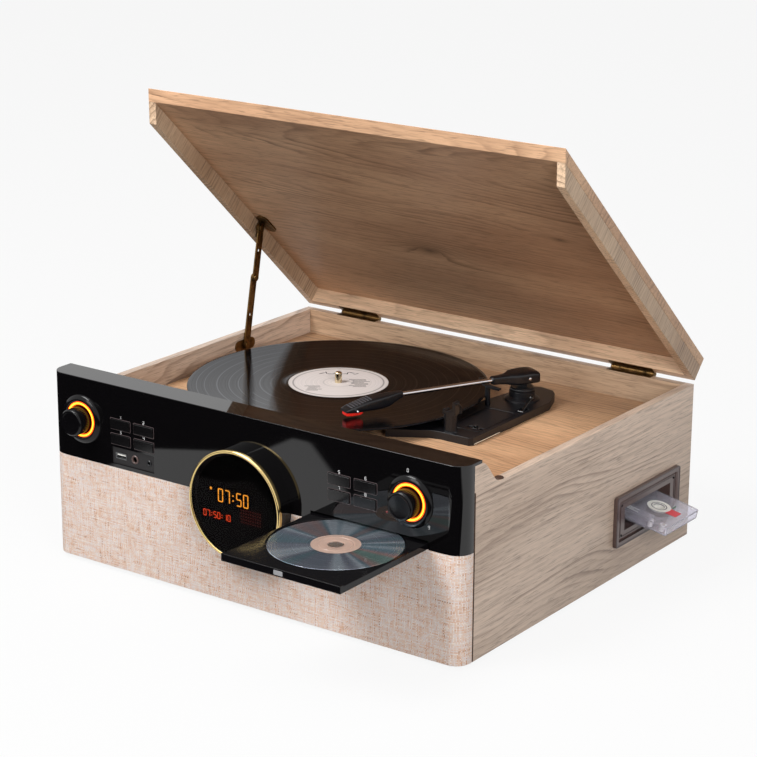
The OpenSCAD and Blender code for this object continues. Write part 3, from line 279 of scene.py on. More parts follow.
@dataclass(frozen=True)
class Oak:
    """Oak veneer: growth rings round a slanting heart, fine fibres, short pores and a few knots.

    Lengths are metres in the board's own axes, along the grain first. Scales of the
    figure are cells in a metre, along the grain and across it.

    Attributes:
        turn: How far the board is turned about X.
        heart: The rings' middle, across the face and through the board.
        slant: How far the heart comes nearer in each metre along the grain.
        ring: Width of a growth ring.
        mark: Strength of the dark line in a ring.
        knots: Place along and across the face, and size, of each knot.
        side_walls_from: Distance from the middle beyond which the grain stands upright.
        aside: Painted light and shade: tone of faces that look ahead or up, and of those that look aside.
        edge: Painted light: tone of the faces that look ahead or back, such as the front and back edges.
        painted_light_fade: Axis, start, end, and the tone at each, of a slow painted change of light and shade.
    """

    name: str
    grain: Grain
    pale: Colour = linear(214, 184, 154)
    warm: Colour = linear(188, 155, 125)
    late: Colour = linear(104, 74, 54)
    turn: float = 0.0
    heart: Point2 = (-0.06, 0.05)
    slant: float = 0.12
    ring: float = 0.0066
    seed: float = 0.0
    mark: float = 0.8
    broad: Point2 = (3, 11)
    fibres: Point2 = (24, 1200)
    streaks: Point2 = (15, 330)
    pores: Point2 = (60, 1150)
    core: Colour = linear(74, 52, 38)
    knots: tuple[tuple[float, float, float], ...] = ()
    side_walls_from: float = 0.0
    aside: tuple[float, float] = (1.0, 1.0)
    edge: float = 1.0
    painted_light_fade: Optional[tuple[int, float, float, float, float]] = None

    def build(self) -> bpy.types.Material:
        """Makes the material."""
        make = Shader(self.name)
        place = self.place(make)
        spread = make.vector("ADD", place, (self.seed, self.seed * 0.7, self.seed * 0.3))
        turns, dark = self.rings(make, place, spread)
        phase = make.math("FRACT", turns)
        rise = make.math("POWER", make.shares(phase, 0.25, 0.88, 0, 1), 1.8)
        line = make.math("MULTIPLY", rise, make.shares(phase, 0.90, 1.0, 1, 0))
        which = make.add("TexWhiteNoise", {"W": make.math("FLOOR", turns)}, noise_dimensions="1D").outputs[0]
        strength = make.math("MULTIPLY", make.shares(which, 0, 1, 0.25, 1),
                             make.shares(make.noise(make.stretched(spread, 5, 30), 1, 2), 0.42, 0.60, 0.12, 1))
        broad = make.noise(make.stretched(spread, *self.broad), 1, 3)
        fibres = make.noise(make.stretched(spread, *self.fibres), 1, 3)
        streaks = make.noise(make.stretched(spread, *self.streaks), 1, 3)
        pores = make.noise(make.stretched(spread, *self.pores), 1, 1)
        colour = make.ramp(broad, ((0.36, self.warm), (0.60, self.pale)))
        colour = make.tint(colour, self.late, "MIX", make.shares(streaks, 0.50, 0.72, 0, 0.34))
        share = make.math("MULTIPLY", make.math("MULTIPLY", line, strength), self.mark)
        colour = make.tint(colour, self.late, "MIX", share)
        colour = make.tint(colour, make.shares(fibres, 0.3, 0.7, 0.86, 1.10))
        pore = make.shares(pores, 0.58, 0.68, 1.0, 0.66)
        colour = make.tint(colour, pore)
        if dark is not None:
            colour = make.tint(colour, self.core, "MIX", make.math("MULTIPLY", dark, 0.85))
        make.surface(Base_Color=self.shaded(make, colour), Roughness=make.shares(fibres, 0.3, 0.7, 0.34, 0.46),
                     Specular_IOR_Level=0.45)
        make.bump(make.math("ADD", fibres, pore), 0.06, 0.5)
        return make.material

    def shaded(self, make: Shader, colour: bpy.types.NodeSocket) -> bpy.types.NodeSocket:
        """The colour with painted light and shade: tones of faces that look aside, of the edges, and the slow painted
        fade.

        Args:
            make: The material's nodes.
            colour: The wood's colour.

        Returns:
            The changed colour.
        """
        # Painted light and shade: faces that look ahead or up take one tone, faces that look aside another.
        if self.aside != (1.0, 1.0):
            facing = make.add("SeparateXYZ", {0: make.coordinates.outputs["Normal"]}).outputs[0]
            colour = make.tint(colour, make.shares(make.math("ABSOLUTE", facing), 0.4, 0.6, *self.aside))
        # Painted light: faces that look ahead or back, such as a board's front edge, take their own tone.
        if self.edge != 1.0:
            ahead = (0, math.cos(self.turn), -math.sin(self.turn))
            facing = make.vector("DOT_PRODUCT", make.coordinates.outputs["Normal"], ahead, out="Value")
            colour = make.tint(colour, make.shares(make.math("ABSOLUTE", facing), 0.5, 0.8, 1, self.edge))
        # Painted light and shade: the colour grows lighter or darker along one axis.
        if self.painted_light_fade:
            split = make.add("SeparateXYZ", {0: make.coordinates.outputs["Object"]}).outputs
            colour = make.tint(colour, make.shares(split[self.painted_light_fade[0]], *self.painted_light_fade[1:]))
        return colour

    def place(self, make: Shader) -> bpy.types.NodeSocket:
        """The board's own axes: along the grain, across the face, through the board."""
        split = make.add("SeparateXYZ", {0: make.mapped((1, 1, 1), self.turn)}).outputs

        def ordered(grain: Grain) -> bpy.types.NodeSocket:
            """The coordinates in the order of a grain."""
            return make.add("CombineXYZ", {k: split[axis] for k, axis in enumerate(grain.order)}).outputs[0]

        own = ordered(self.grain)
        if not self.side_walls_from:
            return own
        beyond = make.math("GREATER_THAN", make.math("ABSOLUTE", split[0]), self.side_walls_from)
        return make.add("Mix", {0: beyond, 4: own, 5: ordered(Grain.TALL)}, data_type="VECTOR").outputs[1]

    def rings(self, make: Shader, place: bpy.types.NodeSocket,
              spread: bpy.types.NodeSocket) -> tuple[bpy.types.NodeSocket, Optional[bpy.types.NodeSocket]]:
        """Counts growth rings from the heart.

        Args:
            make: The material's nodes.
            place: The board's own axes.
            spread: The same, moved by the seed.

        Returns:
            The count of rings, and how dark the knots are or None.
        """
        wander = make.add("TexNoise", {"Vector": make.stretched(spread, 3.5, 10), "Scale": 1.0, "Detail": 2.0})
        shift = make.vector("SUBTRACT", wander.outputs[1], (0.5, 0.5, 0.5))
        shift = make.add("VectorMath", {0: shift, "Scale": 0.045}, operation="SCALE").outputs[0]
        along, across, through = make.add("SeparateXYZ", {0: make.vector("ADD", place, shift)}).outputs
        depth = make.math("SUBTRACT", make.math("MULTIPLY_ADD", along, self.slant, through), self.heart[1])
        off = make.math("SUBTRACT", across, self.heart[0])
        reach = make.vector("LENGTH", make.add("CombineXYZ", {0: off, 1: depth}).outputs[0], out="Value")
        slow = make.noise(make.stretched(spread, 3, 20), 1, 1)
        fine = make.noise(make.stretched(spread, 14, 110), 1, 3)
        turns = make.math("MULTIPLY_ADD", reach, 1 / self.ring, make.math("MULTIPLY", slow, 5.0))
        turns = make.math("MULTIPLY_ADD", fine, 0.9, turns)
        dark = None
        for x, y, size in self.knots:
            aside = make.vector("MULTIPLY", make.vector("SUBTRACT", place, (x, y, 0)), (0.42, 1, 0))
            near = make.math("POWER", make.shares(make.vector("LENGTH", aside, out="Value"), 0, size, 1, 0), 2.0)
            turns = make.math("MULTIPLY_ADD", near, 3.5, turns)
            core = make.math("POWER", near, 2.0)
            dark = core if dark is None else make.math("MAXIMUM", dark, core)
        return turns, dark


@dataclass(frozen=True)
class Moulded:
    """Moulded plastic: one colour with a fine moulded texture and faint mottling."""

    name: str
    colour: Colour
    roughness: float = 0.4
    texture: float = 0.02
    specular: float = 0.5
    cell: float = 900.0

    def build(self) -> bpy.types.Material:
        """Makes the material."""
        make = Shader(self.name)
        fine = make.noise(make.mapped((1, 1, 1)), self.cell, 2)
        broad = make.noise(make.mapped((1, 1, 1)), 18, 2)
        colour = make.tint(self.colour, make.shares(broad, 0.3, 0.7, 0.88, 1.12))
        rough = make.math("ADD", make.shares(fine, 0.3, 0.7, -0.03, 0.03), self.roughness)
        make.surface(Base_Color=colour, Roughness=rough, Specular_IOR_Level=self.specular)
        make.bump(fine, self.texture, 0.6)
        return make.material


@dataclass(frozen=True)
class Metal:
    """Metal with brushing or ageing: darker in patches."""

    name: str
    colour: Colour
    patina: Colour
    age: float = 0.2
    roughness: float = 0.2
    brushed: tuple[float, float, float] = (60.0, 60.0, 60.0)
    texture: float = 0.01

    def build(self) -> bpy.types.Material:
        """Makes the material."""
        make = Shader(self.name)
        patches = make.noise(make.mapped((1, 1, 1)), 140, 5)
        lines = make.noise(make.mapped(self.brushed), 8, 3)
        share = make.shares(patches, 0.42, 0.68, 0, self.age)
        colour = make.tint(self.colour, self.patina, "MIX", share)
        rough = make.math("ADD", make.shares(lines, 0.3, 0.7, -0.04, 0.06),
                          make.math("ADD", make.math("MULTIPLY", share, 0.35), self.roughness))
        make.surface(Base_Color=colour, Metallic=1.0, Roughness=rough)
        make.bump(lines, self.texture, 0.5)
        return make.material


@dataclass(frozen=True)
class Linen:
    """Linen weave whose threads each have their own tone and slubs; its UV map is in metres."""

    name: str = "linen"
    pitch: float = 1.25
    wander: float = 0.10
    slub: float = 0.06
    pale: Colour = linear(244, 230, 220)
    cool: Colour = linear(232, 218, 214)
    warm: Colour = linear(234, 208, 190)
    tan: Colour = linear(226, 184, 158)
    deep: Colour = linear(176, 132, 108)

    def build(self) -> bpy.types.Material:
        """Makes the material."""
        make = Shader(self.name)
        rate = 1 / (self.pitch * MM)
        threads = make.mapped((rate, rate, rate), uv=True)
        wobble = make.add("TexNoise", {"Vector": make.mapped((70, 70, 70), uv=True), "Scale": 1.0})
        shift = make.add("VectorMath", {0: wobble.outputs[1], "Scale": self.wander}, operation="SCALE").outputs[0]
        threads = make.vector("ADD", threads, shift)
        place = make.add("SeparateXYZ", {0: threads}).outputs
        cell = make.add("SeparateXYZ", {0: make.vector("FLOOR", threads)}).outputs
        tones, heights = [], []
        for own, along in ((0, 1), (1, 0)):
            spot = make.add("CombineXYZ", {0: make.math("MULTIPLY", cell[own], 0.73), 2: float(own),
                                           1: make.math("MULTIPLY", place[along], self.slub)}).outputs[0]
            tones.append(make.noise(spot, 1, 2))
            heights.append(make.math("SINE", make.math("MULTIPLY", make.math("FRACT", place[own]), math.pi)))
        over = make.math("PINGPONG", make.math("ADD", cell[0], cell[1]), 1.0)
        tone = make.add("Mix", {0: over, 2: tones[0], 3: tones[1]}).outputs[0]
        height = make.add("Mix", {0: over, 2: heights[0], 3: heights[1]}).outputs[0]
        knot = make.add("TexWhiteNoise", {"Vector": make.vector("FLOOR", threads)}, noise_dimensions="2D").outputs[0]
        value = make.math("MULTIPLY_ADD", knot, 0.12, make.math("MULTIPLY", tone, 0.90))
        colour = make.ramp(value, ((0.26, self.deep), (0.38, self.tan), (0.48, self.warm), (0.56, self.cool),
                                   (0.66, self.pale)))
        # Painted shade: the hollows between threads darker and the crowns a little lighter, on top of the bump.
        colour = make.tint(colour, make.shares(height, 0.1, 0.8, 0.74, 1.04))
        make.surface(Base_Color=colour, Roughness=0.92, Specular_IOR_Level=0.15, Sheen_Weight=0.10,
                     Sheen_Roughness=0.5)
        make.bump(height, 0.30, 0.8)
        return make.material


@dataclass(frozen=True)
class PianoBlack:
    """Polished black lacquer with the faint waviness and dust of a real panel."""

    name: str = "piano_black"
    colour: Colour = linear(8, 7, 8)
    roughness: float = 0.03

    def build(self) -> bpy.types.Material:
        """Makes the material."""
        make = Shader(self.name)
        waves = make.noise(make.mapped((1, 1, 1)), 9, 1)
        dust = make.noise(make.mapped((1, 1, 1)), 700, 3)
        rough = make.math("ADD", make.shares(dust, 0.55, 0.8, 0, 0.05), self.roughness)
        colour = make.tint(self.colour, make.shares(dust, 0.60, 0.75, 1.0, 1.25))
        make.surface(Base_Color=colour, Roughness=rough, Specular_IOR_Level=0.54)
        make.bump(waves, 0.05, 0.25)
        return make.material


@dataclass(frozen=True)
class Glow:
    """Light-guide plastic lit from behind, brightest in the middle of its ring."""

    name: str
    centre: Point2
    inner: float
    outer: float
    core: Colour = linear(255, 226, 60)
    rim: Colour = linear(255, 96, 8)
    power: float = 1.5

    def build(self) -> bpy.types.Material:
        """Makes the material."""
        make = Shader(self.name)
        middle = Station.upright(self.centre[0], 0, self.centre[1]).translation
        flat = make.add("VectorMath", {0: make.coordinates.outputs["Object"], 1: (1, 0, 1)},
                        operation="MULTIPLY").outputs[0]
        reach = make.add("VectorMath", {0: flat, 1: (middle.x, 0, middle.z)}, operation="DISTANCE").outputs["Value"]
        half = (self.outer - self.inner) / 2 * MM
        off = make.math("ABSOLUTE", make.math("SUBTRACT", reach, (self.outer + self.inner) / 2 * MM))
        share = make.shares(off, half * 0.1, half, 1, 0)
        grains = make.noise(make.mapped((1, 1, 1)), 500, 2)
        colour = make.ramp(share, ((0.0, linear(200, 40, 4)), (0.4, self.rim), (0.9, self.core)))
        colour = make.tint(colour, make.shares(grains, 0.3, 0.7, 0.94, 1.0))
        make.surface(Base_Color=colour, Roughness=0.35, Emission_Color=colour, Emission_Strength=self.power)
        return make.material


@dataclass(frozen=True)
class Lit:
    """Glowing segments of the display."""

    name: str
    colour: Colour
    power: float

    def build(self) -> bpy.types.Material:
        """Makes the material."""
        make = Shader(self.name)
        grains = make.noise(make.mapped((1, 1, 1)), 1200, 2)
        colour = make.tint(self.colour, make.shares(grains, 0.35, 0.65, 0.82, 1.0))
        make.surface(Base_Color=colour, Roughness=0.5, Emission_Color=colour, Emission_Strength=self.power)
        return make.material


@dataclass(frozen=True)
class Clear:
    """Clear or smoked plastic or glass, with faint moulding marks."""

    name: str
    colour: Colour
    roughness: float = 0.03
    ior: float = 1.49
    weight: float = 1.0

    def build(self) -> bpy.types.Material:
        """Makes the material."""
        make = Shader(self.name)
        marks = make.noise(make.mapped((1, 1, 1)), 240, 3)
        colour = make.tint(self.colour, make.shares(marks, 0.3, 0.7, 0.95, 1.0))
        rough = make.math("ADD", make.shares(marks, 0.5, 0.8, 0, 0.05), self.roughness)
        make.surface(Base_Color=colour, Roughness=rough, IOR=self.ior, Transmission_Weight=self.weight)
        make.bump(marks, 0.01, 0.2)
        return make.material


@dataclass(frozen=True)
class Ringed:
    """A turned face whose tone and relief follow the distance from its axis.

    Attributes:
        centre: The axis in the cabinet's plan.
        stops: Colours at shares of the reach.
        reach: Radius at which the last stop lies.
        groove: Width of a groove.
        relief: Depth of a groove.
        painted_rainbow: Strength of the painted wedges of reflected rainbow colour.
        gaps: Whether smooth rings part the grooves.
        gap_pitch: Distance between those rings.
    """

    name: str
    centre: Point2
    stops: tuple[tuple[float, Colour], ...]
    reach: float
    groove: float
    relief: float
    roughness: float
    metallic: float = 0.0
    anisotropy: float = 0.0
    painted_rainbow: float = 0.0
    coat: float = 0.0
    specular: float = 0.5
    gaps: bool = False
    gap_pitch: float = 10.5

    def build(self) -> bpy.types.Material:
        """Makes the material."""
        make = Shader(self.name)
        middle = Station.upright(*self.centre).translation
        local = make.add("VectorMath", {0: make.coordinates.outputs["Object"], 1: (middle.x, middle.y, 0)},
                         operation="SUBTRACT").outputs[0]
        flat = make.add("VectorMath", {0: local, 1: (1, 1, 0)}, operation="MULTIPLY").outputs[0]
        radius = make.add("VectorMath", {0: flat}, operation="LENGTH").outputs["Value"]
        share = make.math("DIVIDE", radius, self.reach * MM)
        colour = make.ramp(share, self.stops)
        ring = make.add("CombineXYZ", {0: make.math("MULTIPLY", radius, 1 / MM)}).outputs[0]
        bands = make.noise(ring, 0.9, 4)
        colour = make.tint(colour, make.shares(bands, 0.3, 0.7, 0.82, 1.18))
        # Painted reflection: fixed wedges of rainbow colour in place of the disc's diffracted light.
        if self.painted_rainbow:
            colour = make.tint(colour, self.painted_wedges(make, flat), "MIX", self.painted_rainbow)
        wave = make.math("SINE", make.math("MULTIPLY", radius, TAU / (self.groove * MM)))
        rough = make.math("ADD", make.shares(bands, 0.3, 0.7, -0.03, 0.05), self.roughness)
        values = {"Base_Color": colour, "Roughness": rough, "Metallic": self.metallic, "Coat_Weight": self.coat,
                  "Coat_Roughness": 0.05, "Specular_IOR_Level": self.specular}
        if self.gaps:
            count = make.math("MULTIPLY_ADD", radius, 1 / (self.gap_pitch * MM), make.noise(ring, 0.05, 0))
            off = make.math("ABSOLUTE", make.math("SUBTRACT", make.math("FRACT", count), 0.5))
            smooth = make.shares(off, 0.455, 0.485, 0, 1)
            sheen = make.shares(bands, 0.3, 0.7, self.specular - 0.08, self.specular + 0.08)
            values["Specular_IOR_Level"] = make.math("MULTIPLY_ADD", smooth, 0.42, sheen)
            values["Specular_Tint"] = linear(205, 216, 255)
            wave = make.math("MULTIPLY", wave, make.math("SUBTRACT", 1.0, smooth))
        if self.anisotropy:
            values["Anisotropic"] = self.anisotropy
            values["Tangent"] = make.add("Tangent", direction_type="RADIAL", axis="Z").outputs[0]
        make.surface(**values)
        make.bump(wave, self.relief, 0.5)
        return make.material

    @staticmethod
    def painted_wedges(make: Shader, flat: bpy.types.NodeSocket) -> bpy.types.NodeSocket:
        """Painted reflection: wedges of rainbow colour round the axis, fixed to the face.

        Args:
            make: The material's nodes.
            flat: Place in the face's plane, from the axis.

        Returns:
            Their colour.
        """
        split = make.add("SeparateXYZ", {0: flat})
        angle = make.math("ARCTAN2", split.outputs[1], split.outputs[0])
        turned = make.add("CombineXYZ", {0: make.math("COSINE", angle), 1: make.math("SINE", angle)}).outputs[0]
        return make.ramp(make.noise(turned, 1.5, 1, 0.4), (
            (0.30, linear(84, 118, 128)), (0.40, linear(118, 120, 136)), (0.47, linear(190, 200, 210)),
            (0.54, linear(92, 124, 138)), (0.62, linear(166, 120, 110)), (0.72, linear(100, 134, 120))))


# ---- Meshes ----

@dataclass(frozen=True)
class Corner:
    """A corner of an outline, with the radius that rounds it off."""

    x: float
    y: float
    radius: float = 0.0


def outline(corners: Iterable[Corner], steps: int = 6) -> list[Point2]:
    """Rounds off the corners of a closed outline.

    Args:
        corners: The outline's corners in order.
        steps: Pieces in each round corner.

    Returns:
        The outline's points.
    """
    ring = list(corners)
    made: list[Point2] = []
    for i, here in enumerate(ring):
        if here.radius <= 0:
            made.append((here.x, here.y))
            continue
        before, after = ring[i - 1], ring[(i + 1) % len(ring)]
        point = Vector((here.x, here.y))
        to_before = (Vector((before.x, before.y)) - point).normalized()
        to_after = (Vector((after.x, after.y)) - point).normalized()
        half = to_before.angle(to_after) / 2
        inset = here.radius / math.tan(half)
        centre = point + (to_before + to_after).normalized() * here.radius / math.sin(half)
        first, last = point + to_before * inset - centre, point + to_after * inset - centre
        sweep = first.angle_signed(last)
        for k in range(steps + 1):
            turn = -sweep * k / steps
            made.append((centre.x + first.x * math.cos(turn) - first.y * math.sin(turn),
                         centre.y + first.x * math.sin(turn) + first.y * math.cos(turn)))
    return made


def rounded(width: float, height: float, radius: float) -> list[Point2]:
    """A centred rectangle with round corners."""
    w, h = width / 2, height / 2
    return outline([Corner(-w, -h, radius), Corner(w, -h, radius), Corner(w, h, radius), Corner(-w, h, radius)])


class Maker:
    """Makes pieces in the frame and hands each one to its body and finish."""

    def __init__(self) -> None:
        """Starts with no finished materials."""
        self.made: dict[str, bpy.types.Material] = {}

    def finish(self, recipe: object) -> bpy.types.Material:
        """The material of a recipe, built once."""
        if recipe.name not in self.made:
            self.made[recipe.name] = recipe.build()
        return self.made[recipe.name]

    def piece(self, name: str, mesh: bmesh.types.BMesh, place: Matrix, recipe: object, body: str,
              stands_for: Sequence[str] = (), edge: float = 0.0, rounds: int = 2,
              sharp: float = 34.0, where: Where = None) -> bpy.types.Object:
        """Turns a mesh into a piece of the part.

        Args:
            name: The piece's name.
            mesh: Its shape in local millimetres; it is used up.
            place: Local millimetres to the frame.
            recipe: Its finish.
            body: The body that it rides on.
            stands_for: Nodes that it replaces.
            edge: Width of the rounding of its sharp edges, in millimetres.
            rounds: Segments of that rounding.
            sharp: Least angle of an edge that stays sharp in shading, in degrees.
            where: Tells whether the edges at a point are rounded; all are if it is left out.

        Returns:
            The object.
        """
        if edge:
            self.ease(mesh, edge, rounds, where)
        bmesh.ops.transform(mesh, matrix=place, verts=mesh.verts)
        if place.determinant() < 0:
            bmesh.ops.reverse_faces(mesh, faces=mesh.faces)
        bmesh.ops.recalc_face_normals(mesh, faces=mesh.faces)
        data = bpy.data.meshes.new(name)
        mesh.to_mesh(data)
        mesh.free()
        data.shade_smooth()
        data.set_sharp_from_angle(angle=math.radians(sharp))
        made = linked(name, data)
        data.materials.append(self.finish(recipe))
        if edge:
            even = made.modifiers.new("even_normals", "WEIGHTED_NORMAL")
            even.keep_sharp = True
            even.use_face_influence = True
        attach(made, body)
        if stands_for:
            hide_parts(*stands_for)
        LOG.info("%s rides on %s", name, body)
        return made

    @staticmethod
    def ease(mesh: bmesh.types.BMesh, width: float, rounds: int,
             where: Where = None, least: float = 28.0) -> None:
        """Rounds off the edges sharper than an angle, all of them or those at chosen points."""
        edges = [e for e in mesh.edges if e.is_manifold and e.calc_face_angle(0) > math.radians(least)
                 and (where is None or all(where(v.co) for v in e.verts))]
        bmesh.ops.bevel(mesh, geom=edges, offset=width, segments=rounds, profile=0.5, affect="EDGES",
                        clamp_overlap=where is None, face_strength_mode="ALL")

    @staticmethod
    def lathe(profile: Sequence[Point2], steps: int = 96, ribs: int = 0, rib_depth: float = 0.0,
              rib_from: float = 1e9) -> bmesh.types.BMesh:
        """Turns a profile of (radius, height) about local Z; a closed profile if it leaves the axis.

        Args:
            profile: Points of the outline.
            steps: Pieces round the axis.
            ribs: Ribs round the outside.
            rib_depth: Depth of the ribs.
            rib_from: Least radius that has ribs.

        Returns:
            The mesh.
        """
        mesh = bmesh.new()
        rings: list[list[bmesh.types.BMVert]] = []
        for radius, height in profile:
            if radius <= 1e-6:
                rings.append([mesh.verts.new((0, 0, height))])
                continue
            ring = []
            for k in range(steps):
                turn = TAU * k / steps
                wave = rib_depth * (math.cos(turn * ribs) - 1) / 2 if radius >= rib_from else 0
                ring.append(mesh.verts.new(((radius + wave) * math.cos(turn),
                                            (radius + wave) * math.sin(turn), height)))
            rings.append(ring)
        closed = len(rings[0]) > 1 and len(rings[-1]) > 1
        pairs = list(zip(rings, rings[1:] + rings[:1])) if closed else list(zip(rings, rings[1:]))
        for low, high in pairs:
            for k in range(steps):
                j = (k + 1) % steps
                if len(low) == 1:
                    mesh.faces.new((low[0], high[k], high[j]))
                elif len(high) == 1:
                    mesh.faces.new((low[k], high[0], low[j]))
                else:
                    mesh.faces.new((low[k], low[j], high[j], high[k]))
        return mesh

    @staticmethod
    def prism(points: Sequence[Point2], low: float, high: float,
              holes: Sequence[Sequence[Point2]] = ()) -> bmesh.types.BMesh:
        """Raises an outline from low to high, with holes through it.

        Args:
            points: The outline.
            low: Height of its underside.
            high: Height of its top.
            holes: Outlines of the holes.

        Returns:
            The mesh.
        """
        mesh = bmesh.new()
        loops = [list(points), *[list(h) for h in holes]]
        levels: list[list[list[bmesh.types.BMVert]]] = []
        for height in (low, high):
            levels.append([[mesh.verts.new((x, y, height)) for x, y in loop] for loop in loops])
        for level in levels:
            if len(loops) == 1:
                mesh.faces.new(level[0])
                continue
            edges = [mesh.edges.new((loop[k], loop[(k + 1) % len(loop)]))
                     for loop in level for k in range(len(loop))]
            bmesh.ops.triangle_fill(mesh, edges=edges, use_beauty=True)
        for lower, upper in zip(*levels):
            for k in range(len(lower)):
                j = (k + 1) % len(lower)
                mesh.faces.new((lower[k], lower[j], upper[j], upper[k]))
        bmesh.ops.recalc_face_normals(mesh, faces=mesh.faces)
        if holes:
            bmesh.ops.dissolve_limit(mesh, angle_limit=math.radians(0.5), verts=mesh.verts, edges=mesh.edges)
        return mesh

    @staticmethod
    def block(size: Sequence[float], centre: Sequence[float] = (0, 0, 0)) -> bmesh.types.BMesh:
        """A box that is later eased."""
        mesh = bmesh.new()
        bmesh.ops.create_cube(mesh, size=1)
        for vert in mesh.verts:
            vert.co = Vector([centre[i] + vert.co[i] * size[i] for i in range(3)])
        return mesh

    @staticmethod
    def skin(mesh: bmesh.types.BMesh, rings: Sequence[Sequence[bmesh.types.BMVert]]) -> bmesh.types.BMesh:
        """Joins rings of as many points each, and closes both ends."""
        for first, second in zip(rings, rings[1:]):
            for k in range(len(first)):
                j = (k + 1) % len(first)
                mesh.faces.new((first[k], first[j], second[j], second[k]))
        mesh.faces.new(rings[0])
        mesh.faces.new(rings[-1])
        return mesh

    @staticmethod
    def loft(sections: Sequence[tuple[float, float, float, float]], power: float = 4.0,
             around: int = 28) -> bmesh.types.BMesh:
        """Skins sections that stand across local Y.

        Args:
            sections: Place along Y, half width, lowest and highest point of each section.
            power: Squareness of the sections, 2 for an ellipse.
            around: Points round a section.

        Returns:
            The mesh.
        """
        mesh = bmesh.new()
        rings = []
        for y, half, low, high in sections:
            ring = []
            for k in range(around):
                turn = TAU * (k + 0.5) / around
                c, s = math.cos(turn), math.sin(turn)
                x = math.copysign(abs(c) ** (2 / power), c) * half
                z = (low + high) / 2 + math.copysign(abs(s) ** (2 / power), s) * (high - low) / 2
                ring.append(mesh.verts.new((x, y, z)))
            rings.append(ring)
        return Maker.skin(mesh, rings)

    @staticmethod
    def tube(points: Sequence[Sequence[float]], radius: float, around: int = 16) -> bmesh.types.BMesh:
        """A round bar along points."""
        mesh = bmesh.new()
        path = [Vector(p) for p in points]
        side = Vector((0, 0, 1))
        rings = []
        for i, point in enumerate(path):
            ahead = (path[min(i + 1, len(path) - 1)] - path[max(i - 1, 0)]).normalized()
            if abs(ahead.dot(side)) > 0.95:
                side = Vector((1, 0, 0))
            across = ahead.cross(side).normalized()
            up = across.cross(ahead).normalized()
            turns = [TAU * k / around for k in range(around)]
            rings.append([mesh.verts.new(point + (across * math.cos(t) + up * math.sin(t)) * radius) for t in turns])
        return Maker.skin(mesh, rings)

    @staticmethod
    def joined(*parts: Part) -> bmesh.types.BMesh:
        """One mesh from several, each moved by its own matrix."""
        whole = bmesh.new()
        for mesh, place in parts:
            bmesh.ops.transform(mesh, matrix=place, verts=mesh.verts)
            loose = bpy.data.meshes.new("loose")
            mesh.to_mesh(loose)
            mesh.free()
            whole.from_mesh(loose)
            bpy.data.meshes.remove(loose)
        return whole

    @staticmethod
    def solid(node: str) -> bmesh.types.BMesh:
        """A copy of a node's mesh in millimetres, with its flat faces whole again."""
        mesh = bmesh.new()
        mesh.from_mesh(frame["nodes"][node].data)
        bmesh.ops.remove_doubles(mesh, verts=mesh.verts, dist=2e-6)
        bmesh.ops.scale(mesh, vec=(1 / MM,) * 3, verts=mesh.verts)
        bmesh.ops.dissolve_limit(mesh, angle_limit=math.radians(0.4), verts=mesh.verts, edges=mesh.edges)
        return mesh

    def dress(self, node: str, recipe: object, edge: float = 0.4, rounds: int = 2,
              name: str = "", where: Where = None) -> bpy.types.Object:
        """Shows a node's own shape with eased edges and a finish.

        Args:
            node: The node that it replaces.
            recipe: Its finish.
            edge: Width of the rounding of its sharp edges, in millimetres.
            rounds: Segments of that rounding.
            name: The piece's name, where it isn't the node's with _shell.
            where: Tells whether the edges at a point are rounded.

        Returns:
            The object.
        """
        body = frame["nodes"][node]["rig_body"]
        return self.piece(name or node + "_shell", self.solid(node), Matrix.Scale(MM, 4), recipe, body,
                          (node,), edge, rounds, where=where)

    def paint(self, node: str, recipe: object) -> None:
        """Gives a node that stays as it is a better material."""
        data = frame["nodes"][node].data
        data.materials.clear()
        data.materials.append(self.finish(recipe))


# ---- The finishes of this part ----

# Painted light and shade in the fades: side panels lighter towards the top, back darker towards the right, deck darker
# towards the back where the lid shades it.
OAK_SIDE = Oak("oak_side", Grain.DEEP, linear(204, 182, 164), linear(182, 160, 142), linear(112, 90, 76),
               heart=(-0.07, 0.20), seed=3.1, painted_light_fade=(2, 0.09, 0.19, 0.98, 1.18))
OAK_BACK = Oak("oak_across", Grain.FACE, heart=(-0.12, 0.16), seed=7.7, knots=((0.004, 0.164, 0.012),),
               painted_light_fade=(0, -0.1, 0.2, 1.0, 0.76))
OAK_DECK = Oak("oak_deck", Grain.ACROSS, linear(206, 166, 129), linear(182, 140, 106), heart=(-0.50, 0.0),
               slant=0.25, ring=0.0052, seed=1.9, painted_light_fade=(1, 0.06, 0.17, 1.30, 0.77))
# Painted light and shade on the lid's walls: faces that look ahead or up lighter, those that look aside darker.
OAK_LID_WALLS = Oak("oak_lid_walls", Grain.ACROSS, turn=LID_TURN, heart=(0.7, 0.2), ring=0.0042, seed=2.2,
                    side_walls_from=0.2298, aside=(1.22, 0.72))
BOARD = Moulded("fibre_board", linear(96, 74, 56), 0.85, 0.08, 0.2)
PIANO = PianoBlack()
SATIN_BLACK = Moulded("satin_black", linear(11, 12, 16), 0.30, 0.02)
TRAY_GREY = Moulded("tray_charcoal", linear(12, 11, 13), 0.13, 0.01, 0.22)
FINE_BLACK = Moulded("textured_black", linear(12, 12, 16), 0.38, 0.06, cell=1500)
KEY_BLACK = Moulded("key_black", linear(13, 12, 13), 0.12, 0.005)
KNOB_BLACK = Moulded("knob_black", linear(9, 8, 10), 0.14, 0.004, 0.25)
